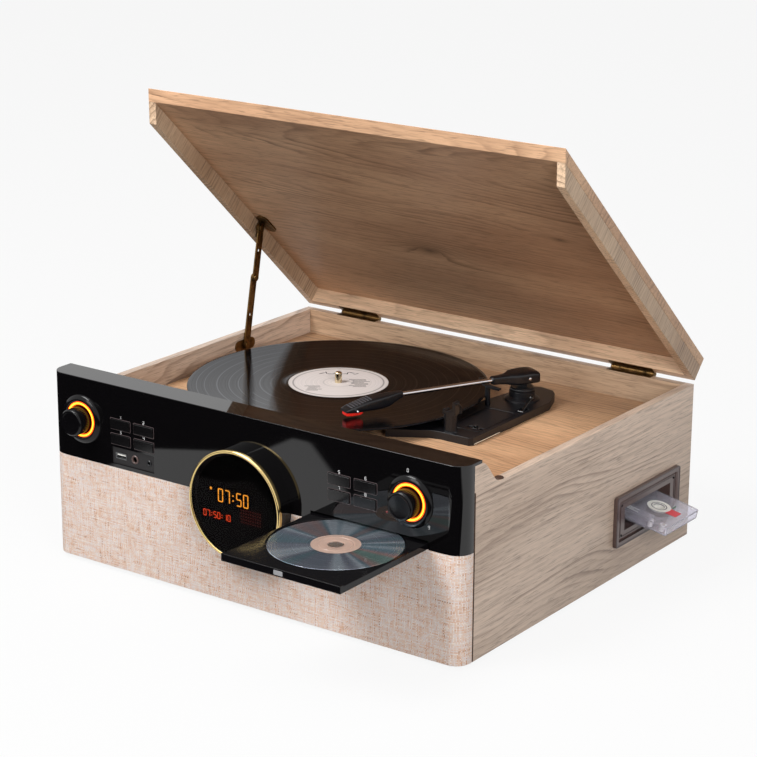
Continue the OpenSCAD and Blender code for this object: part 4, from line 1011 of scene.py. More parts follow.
# Painted highlight: the lighter rings round the keys stand in for light caught by the keys' chamfered edges.
PAINTED_KEY_HIGHLIGHT = Moulded("key_painted_highlight", linear(84, 72, 73), 0.3, 0.01)
PORT_GREY = Moulded("port_grey", linear(24, 22, 23), 0.4, 0.03)
PRINT = Moulded("white_print", linear(214, 214, 214), 0.5, 0.005)
SEAM = Moulded("dark_seam", linear(62, 42, 32), 0.8, 0.02, 0.2)
SPINDLE = Metal("spindle_brass", linear(226, 208, 172), linear(190, 168, 130), 0.1, 0.12)
SLAT = Moulded("slat_grey", linear(74, 75, 80), 0.4, 0.02)
GOLD = Metal("gold_trim", linear(232, 204, 140), linear(190, 150, 80), 0.12, 0.14)
BRASS = Metal("aged_brass", linear(124, 96, 58), linear(52, 38, 24), 0.75, 0.30, texture=0.03)
CHROME = Metal("chrome", linear(226, 226, 230), linear(170, 170, 176), 0.08, 0.07)
STEEL = Metal("sheet_steel", linear(168, 170, 172), linear(120, 122, 124), 0.3, 0.34, (8.0, 120.0, 120.0))
BRONZE = Moulded("bronze_plastic", linear(84, 66, 62), 0.30, 0.02, 0.6)
BRONZE_DARK = Moulded("bronze_edge", linear(52, 30, 28), 0.30, 0.02, 0.6)
RUBBER = Moulded("rubber", linear(34, 28, 25), 0.72, 0.06, 0.3)
BUMPER = Moulded("brown_bumper", linear(62, 42, 32), 0.55, 0.04, 0.4)
RED = Moulded("red_plastic", linear(250, 48, 36), 0.26, 0.01)
CRIMSON = Moulded("crimson_print", linear(214, 18, 44), 0.3, 0.01)
GREEN = Moulded("circuit_board", linear(34, 96, 60), 0.40, 0.05)
PAPER = Moulded("paper_white", linear(240, 238, 232), 0.7, 0.02, 0.3)
INK = Moulded("grey_ink", linear(46, 42, 42), 0.7, 0.01, 0.3)
TAPE = Moulded("tape_brown", linear(52, 34, 28), 0.28, 0.01)
BADGE = Moulded("badge_grey", linear(150, 150, 152), 0.35, 0.01)
CREAM = Moulded("cream_strip", linear(226, 212, 190), 0.4, 0.01)
BLACKOUT = Moulded("display_black", linear(4, 3, 4), 0.8, 0.01, 0.05)


@dataclass
class Cabinet:
    """Veneered carcase: side panels, back, deck, base, bumpers and feet."""

    edge: float = 0.5
    inner_edge: float = 0.3
    feet_x: Point2 = (-205.0, 205.0)
    feet_y: Point2 = (34.0, 374.0)
    bumper: tuple[float, float, float] = (234.5, 62.5, 158.0)

    def build(self, maker: Maker) -> None:
        """Builds the carcase."""
        for node in ("left_side_panel", "right_side_panel"):
            maker.dress(node, OAK_SIDE, self.edge)
        maker.dress("back_panel", OAK_BACK, self.edge)
        maker.dress("deck_board", OAK_DECK, self.inner_edge)
        maker.dress("bottom_panel", BOARD, self.inner_edge)
        maker.paint("speaker_baffle", BOARD)
        self.bumpers(maker)
        self.feet(maker)

    def bumpers(self, maker: Maker) -> None:
        """A soft oval button on each side panel's front end."""
        profile = [(0, 0), (4.1, 0), (4.1, 0.6), (3.7, 1.1), (2.6, 1.35), (0, 1.4)]
        stretch = Matrix.Diagonal((1, 1.15, 1, 1))
        x, y, z = self.bumper
        for side, name in ((-1, "left_bumper"), (1, "right_bumper")):
            maker.piece(name, maker.lathe(profile, 40), Station.upright(side * x, y, z) @ stretch,
                        BUMPER, "cabinet", ("lid_bumpers",))

    def feet(self, maker: Maker) -> None:
        """Four round feet with a screw recess."""
        profile = [(0, -2.4), (3, -2.4), (3.4, -4), (9.0, -4), (10.0, -3.4), (10.9, -0.4), (10.9, 0), (0, 0)]
        feet = [(maker.lathe(profile, 40), Matrix.Translation((x, y, 0)))
                for x in self.feet_x for y in self.feet_y]
        maker.piece("feet", maker.joined(*feet), Station.upright(), RUBBER, "cabinet", ("rubber_feet",))


@dataclass
class Front:
    """Glossy panel, linen grille and the port plate."""

    half_width: float = 239.0
    corner: float = 15.0
    top: float = 182.0
    ports_at: Point2 = (-135.8, 115.2)
    indicator_at: Point2 = (159.4, 128.4)

    def build(self, maker: Maker) -> None:
        """Builds the front."""
        maker.dress("front_panel", PIANO, 0.5, 3, where=self.at_rim)
        self.grille(maker)
        self.ports(maker)
        self.lamp(maker)
        for side, name in ((-1, "left_seam"), (1, "right_seam")):
            line = maker.block((0.16, 1.5, 157), (side * (self.half_width + 0.05), 18.7, 79))
            maker.piece(name, line, Station.upright(), SEAM, "cabinet")

    def at_rim(self, point: Vector) -> bool:
        """Whether a point of the panel, in the frame's millimetres, is on its outer rim."""
        return abs(point.x) > self.half_width - self.corner - 0.5 or point.z > self.top + FOOT_HEIGHT - 0.5

    def grille(self, maker: Maker) -> None:
        """The linen skin, with threads that follow it round the corners."""
        made = maker.dress("grille_cloth", Linen(), 0.6, 2, "linen_grille")
        data = made.data
        threads = data.uv_layers.new(name="threads")
        for loop in data.loops:
            point = data.vertices[loop.vertex_index].co / MM
            threads.data[loop.index].uv = (self.unrolled(point.x, point.y + FRONT_TO_MIDDLE) * MM, point.z * MM)

    def unrolled(self, x: float, y: float) -> float:
        """Distance along the front's plan from its middle, in millimetres."""
        straight = self.half_width - self.corner
        side = math.copysign(1, x)
        if abs(x) <= straight:
            return x
        if y <= self.corner:
            turn = math.atan2(abs(x) - straight, self.corner - y)
            return side * (straight + self.corner * turn)
        return side * (straight + self.corner * math.pi / 2 + y - self.corner)

    def ports(self, maker: Maker) -> None:
        """Port plate with the metal liners of its sockets."""
        maker.dress("port_plate", PORT_GREY, 0.3)
        place = Station.front(*self.ports_at)
        shell = maker.prism(rounded(13.2, 5.6, 0.5), -9, -1.0, [rounded(12.4, 4.8, 0.3)])
        maker.piece("flat_socket_liner", shell, place @ Matrix.Translation((-15.5, 0, 0)), STEEL, "cabinet")
        tongue = maker.block((11.2, 1.6, 7), (-15.5, 0.9, -5.6))
        maker.piece("flat_socket_tongue", tongue, place, PAPER, "cabinet", (), 0.2)
        for x, bore, rim, name in ((2, 2.7, 4.3, "jack_rim"), (19.5, 1.5, 3.0, "small_jack_rim")):
            profile = [(bore, -2.2), (rim, -2.2), (rim, -0.7), (rim - 0.4, -0.35), (bore + 0.3, -0.35), (bore, -0.7)]
            maker.piece(name, maker.lathe(profile, 48), place @ Matrix.Translation((x, 0, 0)),
                        BRONZE if bore > 2 else SATIN_BLACK, "cabinet")

    def lamp(self, maker: Maker) -> None:
        """Small indicator lens by the right knob."""
        profile = [(0, -1), (1.1, -1), (1.1, 0.1), (0.8, 0.35), (0, 0.45)]
        maker.piece("indicator", maker.lathe(profile, 24), Station.front(*self.indicator_at),
                    Moulded("indicator_red", linear(120, 30, 26), 0.2, 0.005), "cabinet")


@dataclass
class Display:
    """Round display: housing, gold ring, smoked lens and lit figures."""

    radius: float = 53.0
    ring: float = 3.0
    out: float = 17.0
    height: float = 103.0
    big_digit: Point2 = (5.0, 11.9)
    small_digit: Point2 = (2.8, 5.8)
    cell: float = 1.5
    cell_pitch: Point2 = (2.7, 2.9)
    segments: dict[str, str] = field(default_factory=lambda: {
        "0": "abcdef", "1": "bc", "2": "abged", "3": "abgcd", "4": "fgbc", "5": "afgcd",
        "6": "afgedc", "7": "abc", "8": "abcdefg", "9": "abfgcd"})

    def build(self, maker: Maker) -> None:
        """Builds the display."""
        place = Station.front(0, self.height)
        r, inner, out = self.radius, self.radius - self.ring, self.out
        wall = [(r - 6, -15.8), (r - 0.05, -15.8), (r - 0.05, out - 4.1), (r - 0.5, out - 3.9), (inner - 1, out - 4.0),
                (inner - 1, out - 4.6), (r - 6, out - 5)]
        maker.piece("display_barrel", maker.lathe(wall, 128), place, PIANO, "cabinet",
                    ("display_housing",))
        rim = [(inner, out - 4), (r, out - 4), (r, out - 1.1), (r - 0.35, out - 0.4), (r - 1.0, out),
               (inner + 1.0, out), (inner + 0.35, out - 0.3), (inner, out - 0.9)]
        maker.piece("gold_ring", maker.lathe(rim, 144), place, GOLD, "cabinet", ("display_ring",))
        self.lens(maker, place)
        self.figures(maker, place)
        maker.paint("display_module", GREEN)

    def lens(self, maker: Maker, place: Matrix) -> None:
        """Domed smoked lens."""
        inner, front = self.radius - self.ring - 0.02, self.out - 1
        dome = [(inner * k / 12, front + 2 * (1 - (k / 12) ** 2)) for k in range(12, -1, -1)]
        profile = [(0, self.out - 3.9), (inner, self.out - 3.9), *dome]
        maker.piece("smoked_lens", maker.lathe(profile, 128), place,
                    Clear("smoked_glass", linear(150, 140, 142), 0.015, 1.10), "cabinet", ("display_lens",))

    def figures(self, maker: Maker, place: Matrix) -> None:
        """Black screen with amber figures, a row of red ones and idle cells."""
        back = self.out - 4.9
        screen = [(0, back - 0.6), (46.6, back - 0.6), (46.6, back), (0, back)]
        maker.piece("screen", maker.lathe(screen, 96), place, BLACKOUT, "cabinet")
        amber = Lit("amber_figures", linear(255, 176, 48), 3.2)
        large = self.row("07:50", -3.4, 6.0, self.big_digit, 1.05, back)
        maker.piece("large_figures", maker.joined(*large), place, amber, "cabinet")
        small = self.row("07:50:10", -22.8, -14.4, self.small_digit, 0.6, back)
        maker.piece("small_figures", maker.joined(*small), place, Lit("red_figures", linear(255, 84, 32), 2.4),
                    "cabinet")
        right, up = self.cell_pitch
        cells = [(maker.block((self.cell, self.cell, 0.1), (6 + right * column, -14.5 + up * row, back + 0.05)), HERE)
                 for column in range(9) for row in range(5)]
        maker.piece("idle_cells", maker.joined(*cells), place, Lit("idle_red", linear(84, 18, 10), 1.0),
                    "cabinet")
        reach = [1.7 * (1 - 0.5 * (k % 2)) for k in range(12)]
        star = [(r * math.cos(TAU * k / 12), r * math.sin(TAU * k / 12)) for k, r in enumerate(reach)]
        maker.piece("lit_mark", maker.prism(star, back, back + 0.2), place @ Matrix.Translation((-29.5, 10.7, 0)),
                    amber, "cabinet")

    def row(self, text: str, x: float, y: float, size: Point2, thick: float, back: float,
            high: float = 0.25) -> list[Part]:
        """Seven-segment figures in a row.

        Args:
            text: Digits and colons.
            x: Sideways middle of the row.
            y: Height of the row's middle.
            size: Width and height of a digit.
            thick: Width of a segment.
            back: Height of the face that carries the figures.
            high: How far they stand out of it.

        Returns:
            The segments, each with its matrix.
        """
        width, height = size
        pitch, narrow = width * 1.6, width * 1.1
        total = sum(narrow if c == ":" else pitch for c in text)
        at_x = x - total / 2
        w, h = width / 2, height / 2
        bars = {"a": (0, h, width, thick), "d": (0, -h, width, thick), "g": (0, 0, width, thick),
                "f": (-w, h / 2, thick, h), "b": (w, h / 2, thick, h),
                "e": (-w, -h / 2, thick, h), "c": (w, -h / 2, thick, h)}
        dot = thick * 1.3
        made = []
        for letter in text:
            step = narrow if letter == ":" else pitch
            middle = Matrix.Translation((at_x + step / 2, y, 0))
            marks = [bars[s] for s in self.segments.get(letter, "")]
            if letter == ":":
                marks = [(0, h * 0.4, dot, dot), (0, -h * 0.4, dot, dot)]
            for bx, by, bw, bh in marks:
                mesh = Maker.block((bw * 0.9, bh * 0.9, high), (bx, by, back + high / 2))
                made.append((mesh, middle))
            at_x += step
        return made


@dataclass
class Controls:
    """Two fluted knobs in glowing dishes, and eight keys."""

    knobs: tuple[tuple[float, str, str], ...] = ((-199.0, "left", "source_knob"), (184.0, "right", "volume_knob"))
    height: float = 143.5
    radius: float = 13.3
    out: float = 17.0
    dish: float = 24.0
    groups: Point2 = (-135.8, 121.6)
    groups_z: float = 139.2
    key_pitch: Point2 = (29.0, 15.0)
    keys: tuple[str, ...] = ("repeat_button", "skip_button", "play_button", "stop_button",
                             "band_button", "eject_button", "store_button", "record_button")

    def build(self, maker: Maker) -> None:
        """Builds the controls."""
        for x, side, node in self.knobs:
            self.knob(maker, x, side, node)
        for node in self.keys:
            maker.dress(node, KEY_BLACK, 0.45, 3, node + "_cap")
        # Painted highlight rings round each key, lighter than the panel, in place of light on their chamfered edges.
        half_x, half_z = self.key_pitch[0] / 2, self.key_pitch[1] / 2
        for middle, name in zip(self.groups, ("left_key_painted_highlights", "right_key_painted_highlights")):
            highlight_rings = [(maker.prism(rounded(25.4, 11.4, 1.2), -0.01, 0.14, [rounded(24.5, 10.5, 0.9)]),
                       Station.front(middle + x, self.groups_z + z))
                      for x in (-half_x, half_x) for z in (-half_z, half_z)]
            maker.piece(name, maker.joined(*highlight_rings), HERE, PAINTED_KEY_HIGHLIGHT, "cabinet")
        self.numbers(maker)

    def numbers(self, maker: Maker) -> None:
        """Plain printed numbers over the keys and beside the knobs."""
        across, down = self.key_pitch
        top = self.groups_z + down / 2 + 7.6
        keys = [(str(4 * group + 2 * low + right + 1), middle + across * right - across / 2, top - down * low)
                for group, middle in enumerate(self.groups) for low in (0, 1) for right in (0, 1)]
        scale = [("1", -219.0, 157.0), ("2", -221.5, 143.5), ("3", -219.0, 130.0), ("0", 181.0, 171.5),
                 ("9", 204.0, 124.0)]
        figures = []
        for text, x, z in keys + scale:
            figures += [(mesh, Station.front(x, z) @ place)
                        for mesh, place in Display().row(text, 0, 0, (1.6, 2.8), 0.5, -0.01, 0.05)]
        maker.piece("printed_numbers", maker.joined(*figures), HERE, PRINT, "cabinet")

    def knob(self, maker: Maker, x: float, side: str, node: str) -> None:
        """One knob with its dish and light ring."""
        place = Station.front(x, self.height)
        r, out, dish = self.radius, self.out, self.dish
        body = [(0, 1.5), (r - 1.2, 1.5), (r - 0.5, 1.7), (r - 0.05, 2.4), (r, 5), (r, 9), (r, out - 2.6),
                (r - 0.15, out - 1.6), (r - 0.6, out - 0.7), (r - 1.4, out - 0.15), (r - 2.2, out),
                (r - 3.0, out - 0.12), (r - 4.2, out - 0.35), (0, out - 0.45)]
        maker.piece(side + "_knob", maker.lathe(body, 288, 48, 0.28, r - 0.02), place, KNOB_BLACK, node,
                    (node,), sharp=50)
        bowl = [(14.1, -4), (21, -4), (21, 0), (dish, 0), (dish, 0.7), (dish - 0.5, 1.5), (dish - 1.8, 2.2),
                (20.6, 2.9), (19.6, 3.15), (18.9, 3.1), (18.2, 2.7), (17.75, 2.2), (17.7, 1.0), (14.1, 1.0)]
        maker.piece(side + "_dish", maker.lathe(bowl, 128), place, KNOB_BLACK, "cabinet",
                    ("knob_dishes",))
        ring = [(14.2, 1), (17.6, 1), (17.6, 2.3), (17.0, 2.55), (15.9, 2.6), (14.7, 2.45), (14.2, 2.1)]
        maker.piece(side + "_light_ring", maker.lathe(ring, 128), place,
                    Glow(side + "_glow", (x, self.height), 14.2, 17.6), "cabinet", ("glow_rings",))


@dataclass
class DiscDrive:
    """Disc tray with a compact disc in it."""

    x: float = 139.5
    disc_y: float = -48.0
    disc_z: float = 107.6
    bezel_z: float = 107.0
    out: float = 127.0

    def build(self, maker: Maker) -> None:
        """Builds the tray and disc."""
        maker.dress("disc_tray", TRAY_GREY, 0.45)
        lip = maker.block((126.6, 4.9, 6.7))
        maker.piece("tray_bezel", lip, Station.upright(self.x, -124.5, self.bezel_z), PIANO, "tray",
                    (), 0.9, 3)
        badge = maker.prism(rounded(9.6, 4.2, 0.9), -0.1, 0.2)
        maker.piece("bare_badge", badge, Station.front(self.x - 1.5, self.bezel_z, self.out), BADGE, "tray",
                    (), 0.1, 1)
        maker.paint("disc_drive_chassis", STEEL)
        self.disc(maker)

    def disc(self, maker: Maker) -> None:
        """Mirrored disc, its clear hub and its stacking ring."""
        place = Station.upright(self.x, self.disc_y, self.disc_z)
        # The disc's colour carries a painted reflection: rainbow wedges fixed to it.
        silver = Ringed("disc_painted_iridescence", (self.x, self.disc_y),
                        ((0.0, linear(120, 132, 142)), (0.36, linear(124, 136, 146)), (0.40, linear(90, 100, 110)),
                         (0.46, linear(120, 134, 146)), (0.80, linear(112, 128, 140)), (0.97, linear(150, 160, 170)),
                         (1.0, linear(90, 96, 104))),
                        60, 0.8, 0.0001, 0.24, 0.72, 0.75, 0.70, 1.0)
        outer = [(22.2, 0), (59.6, 0), (60, 0.3), (60, 0.9), (59.6, 1.2), (22.2, 1.2)]
        maker.piece("disc_mirror", maker.lathe(outer, 160), place, silver, "disc", ("compact_disc",))
        hub = [(7.5, 0.1), (7.8, 0), (22.1, 0), (22.1, 1.2), (18.2, 1.2), (17.6, 1.35), (17.0, 1.2), (16.2, 1.2),
               (16.0, 0.95), (15.6, 0.95), (15.4, 1.2), (7.8, 1.2), (7.5, 1.1)]
        maker.piece("disc_hub", maker.lathe(hub, 96), place, Clear("clear_hub", linear(214, 184, 168), 0.16, 1.5, 0.4),
                    "disc")


@dataclass
class Turntable:
    """Platter, record with a bare label, spindle, pulley, belt and motor."""

    x: float = -62.5
    y: float = 226.5
    radius: float = 150.8
    label_radius: float = 50.0
    record_z: float = 147.3
    label_turn: float = 36.0

    def build(self, maker: Maker) -> None:
        """Builds the turntable."""
        maker.dress("platter", RUBBER, 0.3)
        maker.dress("motor_pulley", GOLD, 0.15)
        maker.paint("drive_belt", RUBBER)
        maker.paint("platter_motor", STEEL)
        self.record(maker)
        tip = [(0, 114), (3.55, 114), (3.55, 158.2), (3.3, 159.1), (2.6, 159.8), (1.5, 160.05), (0, 160.05)]
        collar = [(3.4, 132), (9, 132), (9, 134.4), (3.4, 134.4)]
        nut = [(0, 121), (14, 121), (14, 124), (0, 124)]
        whole = maker.joined(*[(maker.lathe(p, 64), HERE) for p in (tip, collar, nut)])
        maker.piece("spindle_pin", whole, Station.upright(self.x, self.y), SPINDLE, "cabinet", ("spindle",))

    def record(self, maker: Maker) -> None:
        """Grooved record with a raised rim, track gaps and a plain label."""
        place = Station.upright(self.x, self.y, self.record_z)
        r = self.radius
        top: list[Point2] = [(r, 0.85), (r - 0.3, 1.35), (r - 1.2, 1.68), (r - 3.4, 1.62), (r - 4.6, 1.45)]
        top += [(60, 1.45), (59, 1.38), (54.5, 1.38), (53, 1.45), (51, 1.6), (3.6, 1.6)]
        profile = [(3.6, 0), (r - 1, 0), *top]
        black = linear(8, 7, 8)
        vinyl = Ringed("vinyl", (self.x, self.y), (
            (0.0, black), (0.39, linear(14, 13, 14)), (0.40, black), (0.60, linear(10, 9, 10)), (0.97, black),
            (1.0, linear(16, 15, 16))), r, 0.9, 0.008, 0.05, specular=0.15, gaps=True)
        maker.piece("vinyl_record", maker.lathe(profile, 256), place, vinyl, "platter", ("record",))
        paper = linear(214, 206, 203)
        label = Ringed("plain_label", (self.x, self.y), (
            (0.0, paper), (0.28, paper), (0.30, linear(180, 174, 172)), (0.32, paper), (0.88, paper),
            (0.905, linear(120, 116, 114)), (0.93, paper), (1.0, linear(196, 190, 186))),
            self.label_radius, 2.0, 0.01, 0.55)
        rim = self.label_radius
        disc = [(3.7, 1.6), (rim, 1.6), (rim, 1.69), (rim - 0.4, 1.72), (3.7, 1.72)]
        maker.piece("record_label", maker.lathe(disc, 128), place, label, "platter")
        self.label_marks(maker, place)

    def label_marks(self, maker: Maker, place: Matrix) -> None:
        """Two groups of plain bars and a row of strokes in a wave."""
        lines = [(-26 + 2.4 * (k % 2), -13 - 3.4 * k, 15 - 3.0 * (k % 3), 1.1) for k in range(5)]
        lines += [(19 + 2.0 * (k % 3), 9 - 3.4 * k, 17 - 3.5 * (k % 2), 1.1) for k in range(8)]
        turn = Matrix.Rotation(math.radians(self.label_turn), 4, "Z")
        marks = [(maker.block((length, height, 0.02)), turn @ Matrix.Translation((x, y, 1.73)))
                 for x, y, length, height in lines]
        for k in range(9):
            stroke = Matrix.Translation((-17 + 4.3 * k, 30 + 2.2 * math.sin(2.1 * k), 1.73))
            lean = Matrix.Rotation(math.radians(35 + 67 * k), 4, "Z")
            marks.append((maker.block((6.5 - 0.4 * (k % 3), 1.3, 0.02)), turn @ stroke @ lean))
        maker.piece("label_bars", maker.joined(*marks), place, INK, "platter")


@dataclass
class Tonearm:
    """Base plate, pivot, housing, chrome tube, headshell, rest and small levers."""

    tube_z: float = 163.55
    record_top: float = 149.0
    rest_y: float = 189.0
    lift_radii: Point2 = (38.0, 43.0)
    cue_lean: float = 60.0
    cue_length: float = 20.0

    def build(self, maker: Maker) -> None:
        """Builds the tonearm."""
        self.base(maker)
        self.pivot(maker)
        self.housing(maker)
        self.head(maker)
        self.rest(maker)
        self.lifter(maker)
        self.levers(maker)

    def base(self, maker: Maker) -> None:
        """Base plate with a bevelled rim, a raised inner line and a pale strip under its edge."""
        maker.dress("tonearm_base", FINE_BLACK, 1.3, 3)
        strip = maker.block((0.5, 44, 0.9), (127.1, 208, 133.2))
        maker.piece("base_strip", strip, Station.upright(), CREAM, "cabinet", (), 0.15, 1)
        line = maker.prism(rounded(36, 70, 5), 0, 0.45, [rounded(33.6, 67.6, 4)])
        maker.piece("base_line", line, Station.upright(104, 236, 139.95), SATIN_BLACK, "cabinet",
                    (), 0.15, 1)

    def pivot(self, maker: Maker) -> None:
        """Turning post with a ribbed foot, and the ring round the pedestal."""
        maker.dress("tonearm_post", SATIN_BLACK, 0.3)
        ring = [(11.6, 149.2), (12.3, 149.25), (12.5, 150.0), (12.4, 151.4), (11.9, 152.2), (10.4, 152.6),
                (10.2, 149.3)]
        maker.piece("pivot_ring", maker.lathe(ring, 192, 40, 0.25, 11.9), Station.upright(*PIVOT), SATIN_BLACK,
                    "arm_swing", sharp=50)
        collar = [(13.0, 140.0), (17.5, 140.0), (17.3, 141.2), (15.5, 142.4), (13.0, 143.4)]
        maker.piece("pedestal_collar", maker.lathe(collar, 96), Station.upright(*PIVOT), FINE_BLACK,
                    "cabinet")

    def housing(self, maker: Maker) -> None:
        """Soft-edged housing that narrows to the tube."""
        z = self.tube_z
        sections = [(14.4, 9.4, z - 5.4, z + 3.0), (14.0, 10.8, z - 6.4, z + 4.4), (11.5, 11.8, z - 6.5, z + 5.6),
                    (5.0, 12.0, z - 6.5, z + 6.2), (-6.0, 11.9, z - 6.5, z + 6.0), (-12.0, 11.2, z - 6.4, z + 5.4),
                    (-16.5, 7.8, z - 6.0, z + 4.4), (-21.0, 5.4, z - 5.2, z + 3.9), (-27.0, 4.6, z - 4.6, z + 3.7),
                    (-34.0, 4.0, z - 4.2, z + 3.6), (-35.0, 3.6, z - 3.8, z + 3.2)]
        maker.piece("arm_housing", maker.loft(sections, 5.0, 36), Station.tonearm(0), SATIN_BLACK,
                    "arm_lift", ("tonearm_housing",), sharp=40)
        screw = [(0, 0), (1.5, 0), (1.5, 0.25), (1.1, 0.5), (0, 0.55)]
        side = Matrix.Translation((11.9, 2, z - 0.5)) @ Matrix.Rotation(math.radians(90), 4, "Y")
        maker.piece("housing_screw", maker.lathe(screw, 24), Station.tonearm(0) @ side, CHROME, "arm_lift")
        bar = maker.tube([(0, -34.5 - 1.0 * k, z) for k in range(0, 106, 5)], 2.3, 32)
        maker.piece("chrome_tube", bar, Station.tonearm(0), CHROME, "arm_lift", ("tonearm_tube",))

    def head(self, maker: Maker) -> None:
        """Headshell with cooling grooves, finger lift, red stylus holder and needle."""
        z, top = self.tube_z, self.record_top
        sections = [(-134.5, 2.8, z - 2.8, z + 2.8), (-137.5, 3.3, z - 3.4, z + 3.2), (-142.0, 4.2, z - 5.4, z + 3.1),
                    (-150.0, 6.2, z - 9.0, z + 2.7), (-160.0, 7.8, top + 4.4, z + 2.2),
                    (-172.0, 8.4, top + 4.6, z + 0.8), (-184.0, 8.3, top + 4.7, z - 2.4),
                    (-193.0, 7.8, top + 5.0, z - 5.2), (-196.8, 6.9, top + 5.6, z - 7.0)]
        maker.piece("head", maker.loft(sections, 5.5, 36), Station.tonearm(0), SATIN_BLACK, "arm_lift",
                    ("headshell",), sharp=40)
        slope = Matrix.Rotation(math.radians(16), 4, "X")
        slats = []
        for k in range(8):
            y = -170.5 - k * 2.9
            level = z + 1.25 - (abs(y) - 170.5) * 0.285
            slats.append((maker.block((12.5, 1.1, 0.9)), Matrix.Translation((0, y, level)) @ slope))
        maker.piece("head_slats", maker.joined(*slats), Station.tonearm(0), SLAT, "arm_lift",
                    (), 0.15, 1)
        lift = maker.tube([(7.0, -185, top + 6.2), (10.0, -186, top + 6.4), (12.4, -187.4, top + 7.2),
                           (14.0, -189, top + 8.8)], 0.75, 12)
        maker.piece("finger_lift", lift, Station.tonearm(0), CHROME, "arm_lift")
        wedge = [(-178.5, 4.2, top + 2.4, top + 5.2), (-181.0, 4.7, top + 1.2, top + 5.4),
                 (-190.0, 4.8, top + 0.9, top + 5.6), (-195.4, 4.6, top + 1.6, top + 5.6),
                 (-196.4, 4.1, top + 2.4, top + 5.4)]
        maker.piece("stylus_holder", maker.loft(wedge, 6.0, 28), Station.tonearm(0), RED, "arm_lift",
                    ("stylus",), sharp=40)
        needle = [(0, 0.45), (0.16, 0.5), (0.5, 1.5), (0.5, 2.2), (0, 2.2)]
        maker.piece("needle", maker.lathe(needle, 16), Station.tonearm(top) @ Matrix.Translation((0, -190, 0)),
                    CHROME, "arm_lift")

    def rest(self, maker: Maker) -> None:
        """Arm rest: a waisted post, a cradle and its clip."""
        sections = [(0, 7.6), (1.6, 6.9), (8, 6.7), (14, 6.7), (17.2, 6.9)]
        mesh = bmesh.new()
        rings = [[mesh.verts.new((x, y * 0.72, 139.9 + height)) for x, y in rounded(half * 2, half * 1.5, half * 0.6)]
                 for height, half in sections]
        place = Station.upright(PIVOT[0], self.rest_y)
        maker.piece("rest_post", maker.skin(mesh, rings), place, SATIN_BLACK, "cabinet",
                    ("arm_rest",), 0.3)
        cradle = outline([Corner(-7, 156.8, 1), Corner(7.5, 156.8, 1), Corner(7.5, 170.2, 1.6),
                          Corner(4.0, 170.2, 1.2), Corner(3.45, 160.6, 1.5), Corner(-3.2, 160.0, 1.5),
                          Corner(-4.2, 162.2, 0.6), Corner(-7, 162.2, 1.2)], 5)
        upright = Matrix(((1, 0, 0, 0), (0, 0, -1, 3.8), (0, 1, 0, 0), (0, 0, 0, 1)))
        maker.piece("rest_cradle", maker.prism(cradle, 0, 7.6), place @ upright, SATIN_BLACK, "cabinet",
                    (), 0.4)
        hook = [(7.6, -2.5 + 9 * math.sin(k * 0.16), 160 + 8 * math.cos(k * 0.16)) for k in range(13)]
        maker.piece("rest_clip", maker.tube(hook, 0.9, 12), place, SATIN_BLACK, "cabinet")

    def lifter(self, maker: Maker) -> None:
        """The curved bar that raises the arm, on its post."""
        inner, outer = self.lift_radii
        middle = (inner + outer) / 2
        sweep = [math.radians(-150 + 6 * k) for k in range(11)]
        bar = [(inner * math.cos(t), inner * math.sin(t)) for t in sweep]
        bar += [(outer * math.cos(t), outer * math.sin(t)) for t in reversed(sweep)]
        post = maker.lathe([(0, 139.5), (2.6, 139.5), (2.6, 158.6), (0, 158.6)], 32)
        stand = Matrix.Translation((middle * math.cos(sweep[6]), middle * math.sin(sweep[6]), 0))
        lifter = maker.joined((maker.prism(bar, 158.4, 160.4), HERE), (post, stand))
        maker.piece("lift_bar", lifter, Station.upright(*PIVOT), SATIN_BLACK, "cabinet", (), 0.3)

    def levers(self, maker: Maker) -> None:
        """Cue lever on its pin, and speed switch."""
        lean, length = math.radians(self.cue_lean), self.cue_length
        root = Vector((118, 283, 137.8))
        tip = root + Vector((0, length * math.sin(lean), length * math.cos(lean)))
        path = [root.lerp(tip, k / 6) for k in range(7)]
        bar = maker.tube(path, 1.5, 16)
        knob = maker.lathe([(0, -2.6), (1.6, -2.1), (2.5, -0.8), (2.6, 0.4), (2.0, 1.8), (0, 2.5)], 32)
        barrel = maker.lathe([(0, -3.6), (2.0, -3.6), (2.0, 3.6), (0, 3.6)], 32)
        turn = Matrix.Translation(root) @ Matrix.Rotation(math.radians(90), 4, "Y")
        pin = maker.lathe([(0, -6.6), (1.2, -6.6), (1.2, 6.6), (0, 6.6)], 24)
        top = Matrix.Translation(tip) @ Matrix.Rotation(-lean, 4, "X")
        whole = maker.joined((bar, HERE), (knob, top), (barrel, turn), (pin, turn))
        maker.piece("cue_handle", whole, Station.upright(), KEY_BLACK, "cue", ("cue_lever",),
                    sharp=50)
        maker.dress("speed_switch", KEY_BLACK, 0.3)


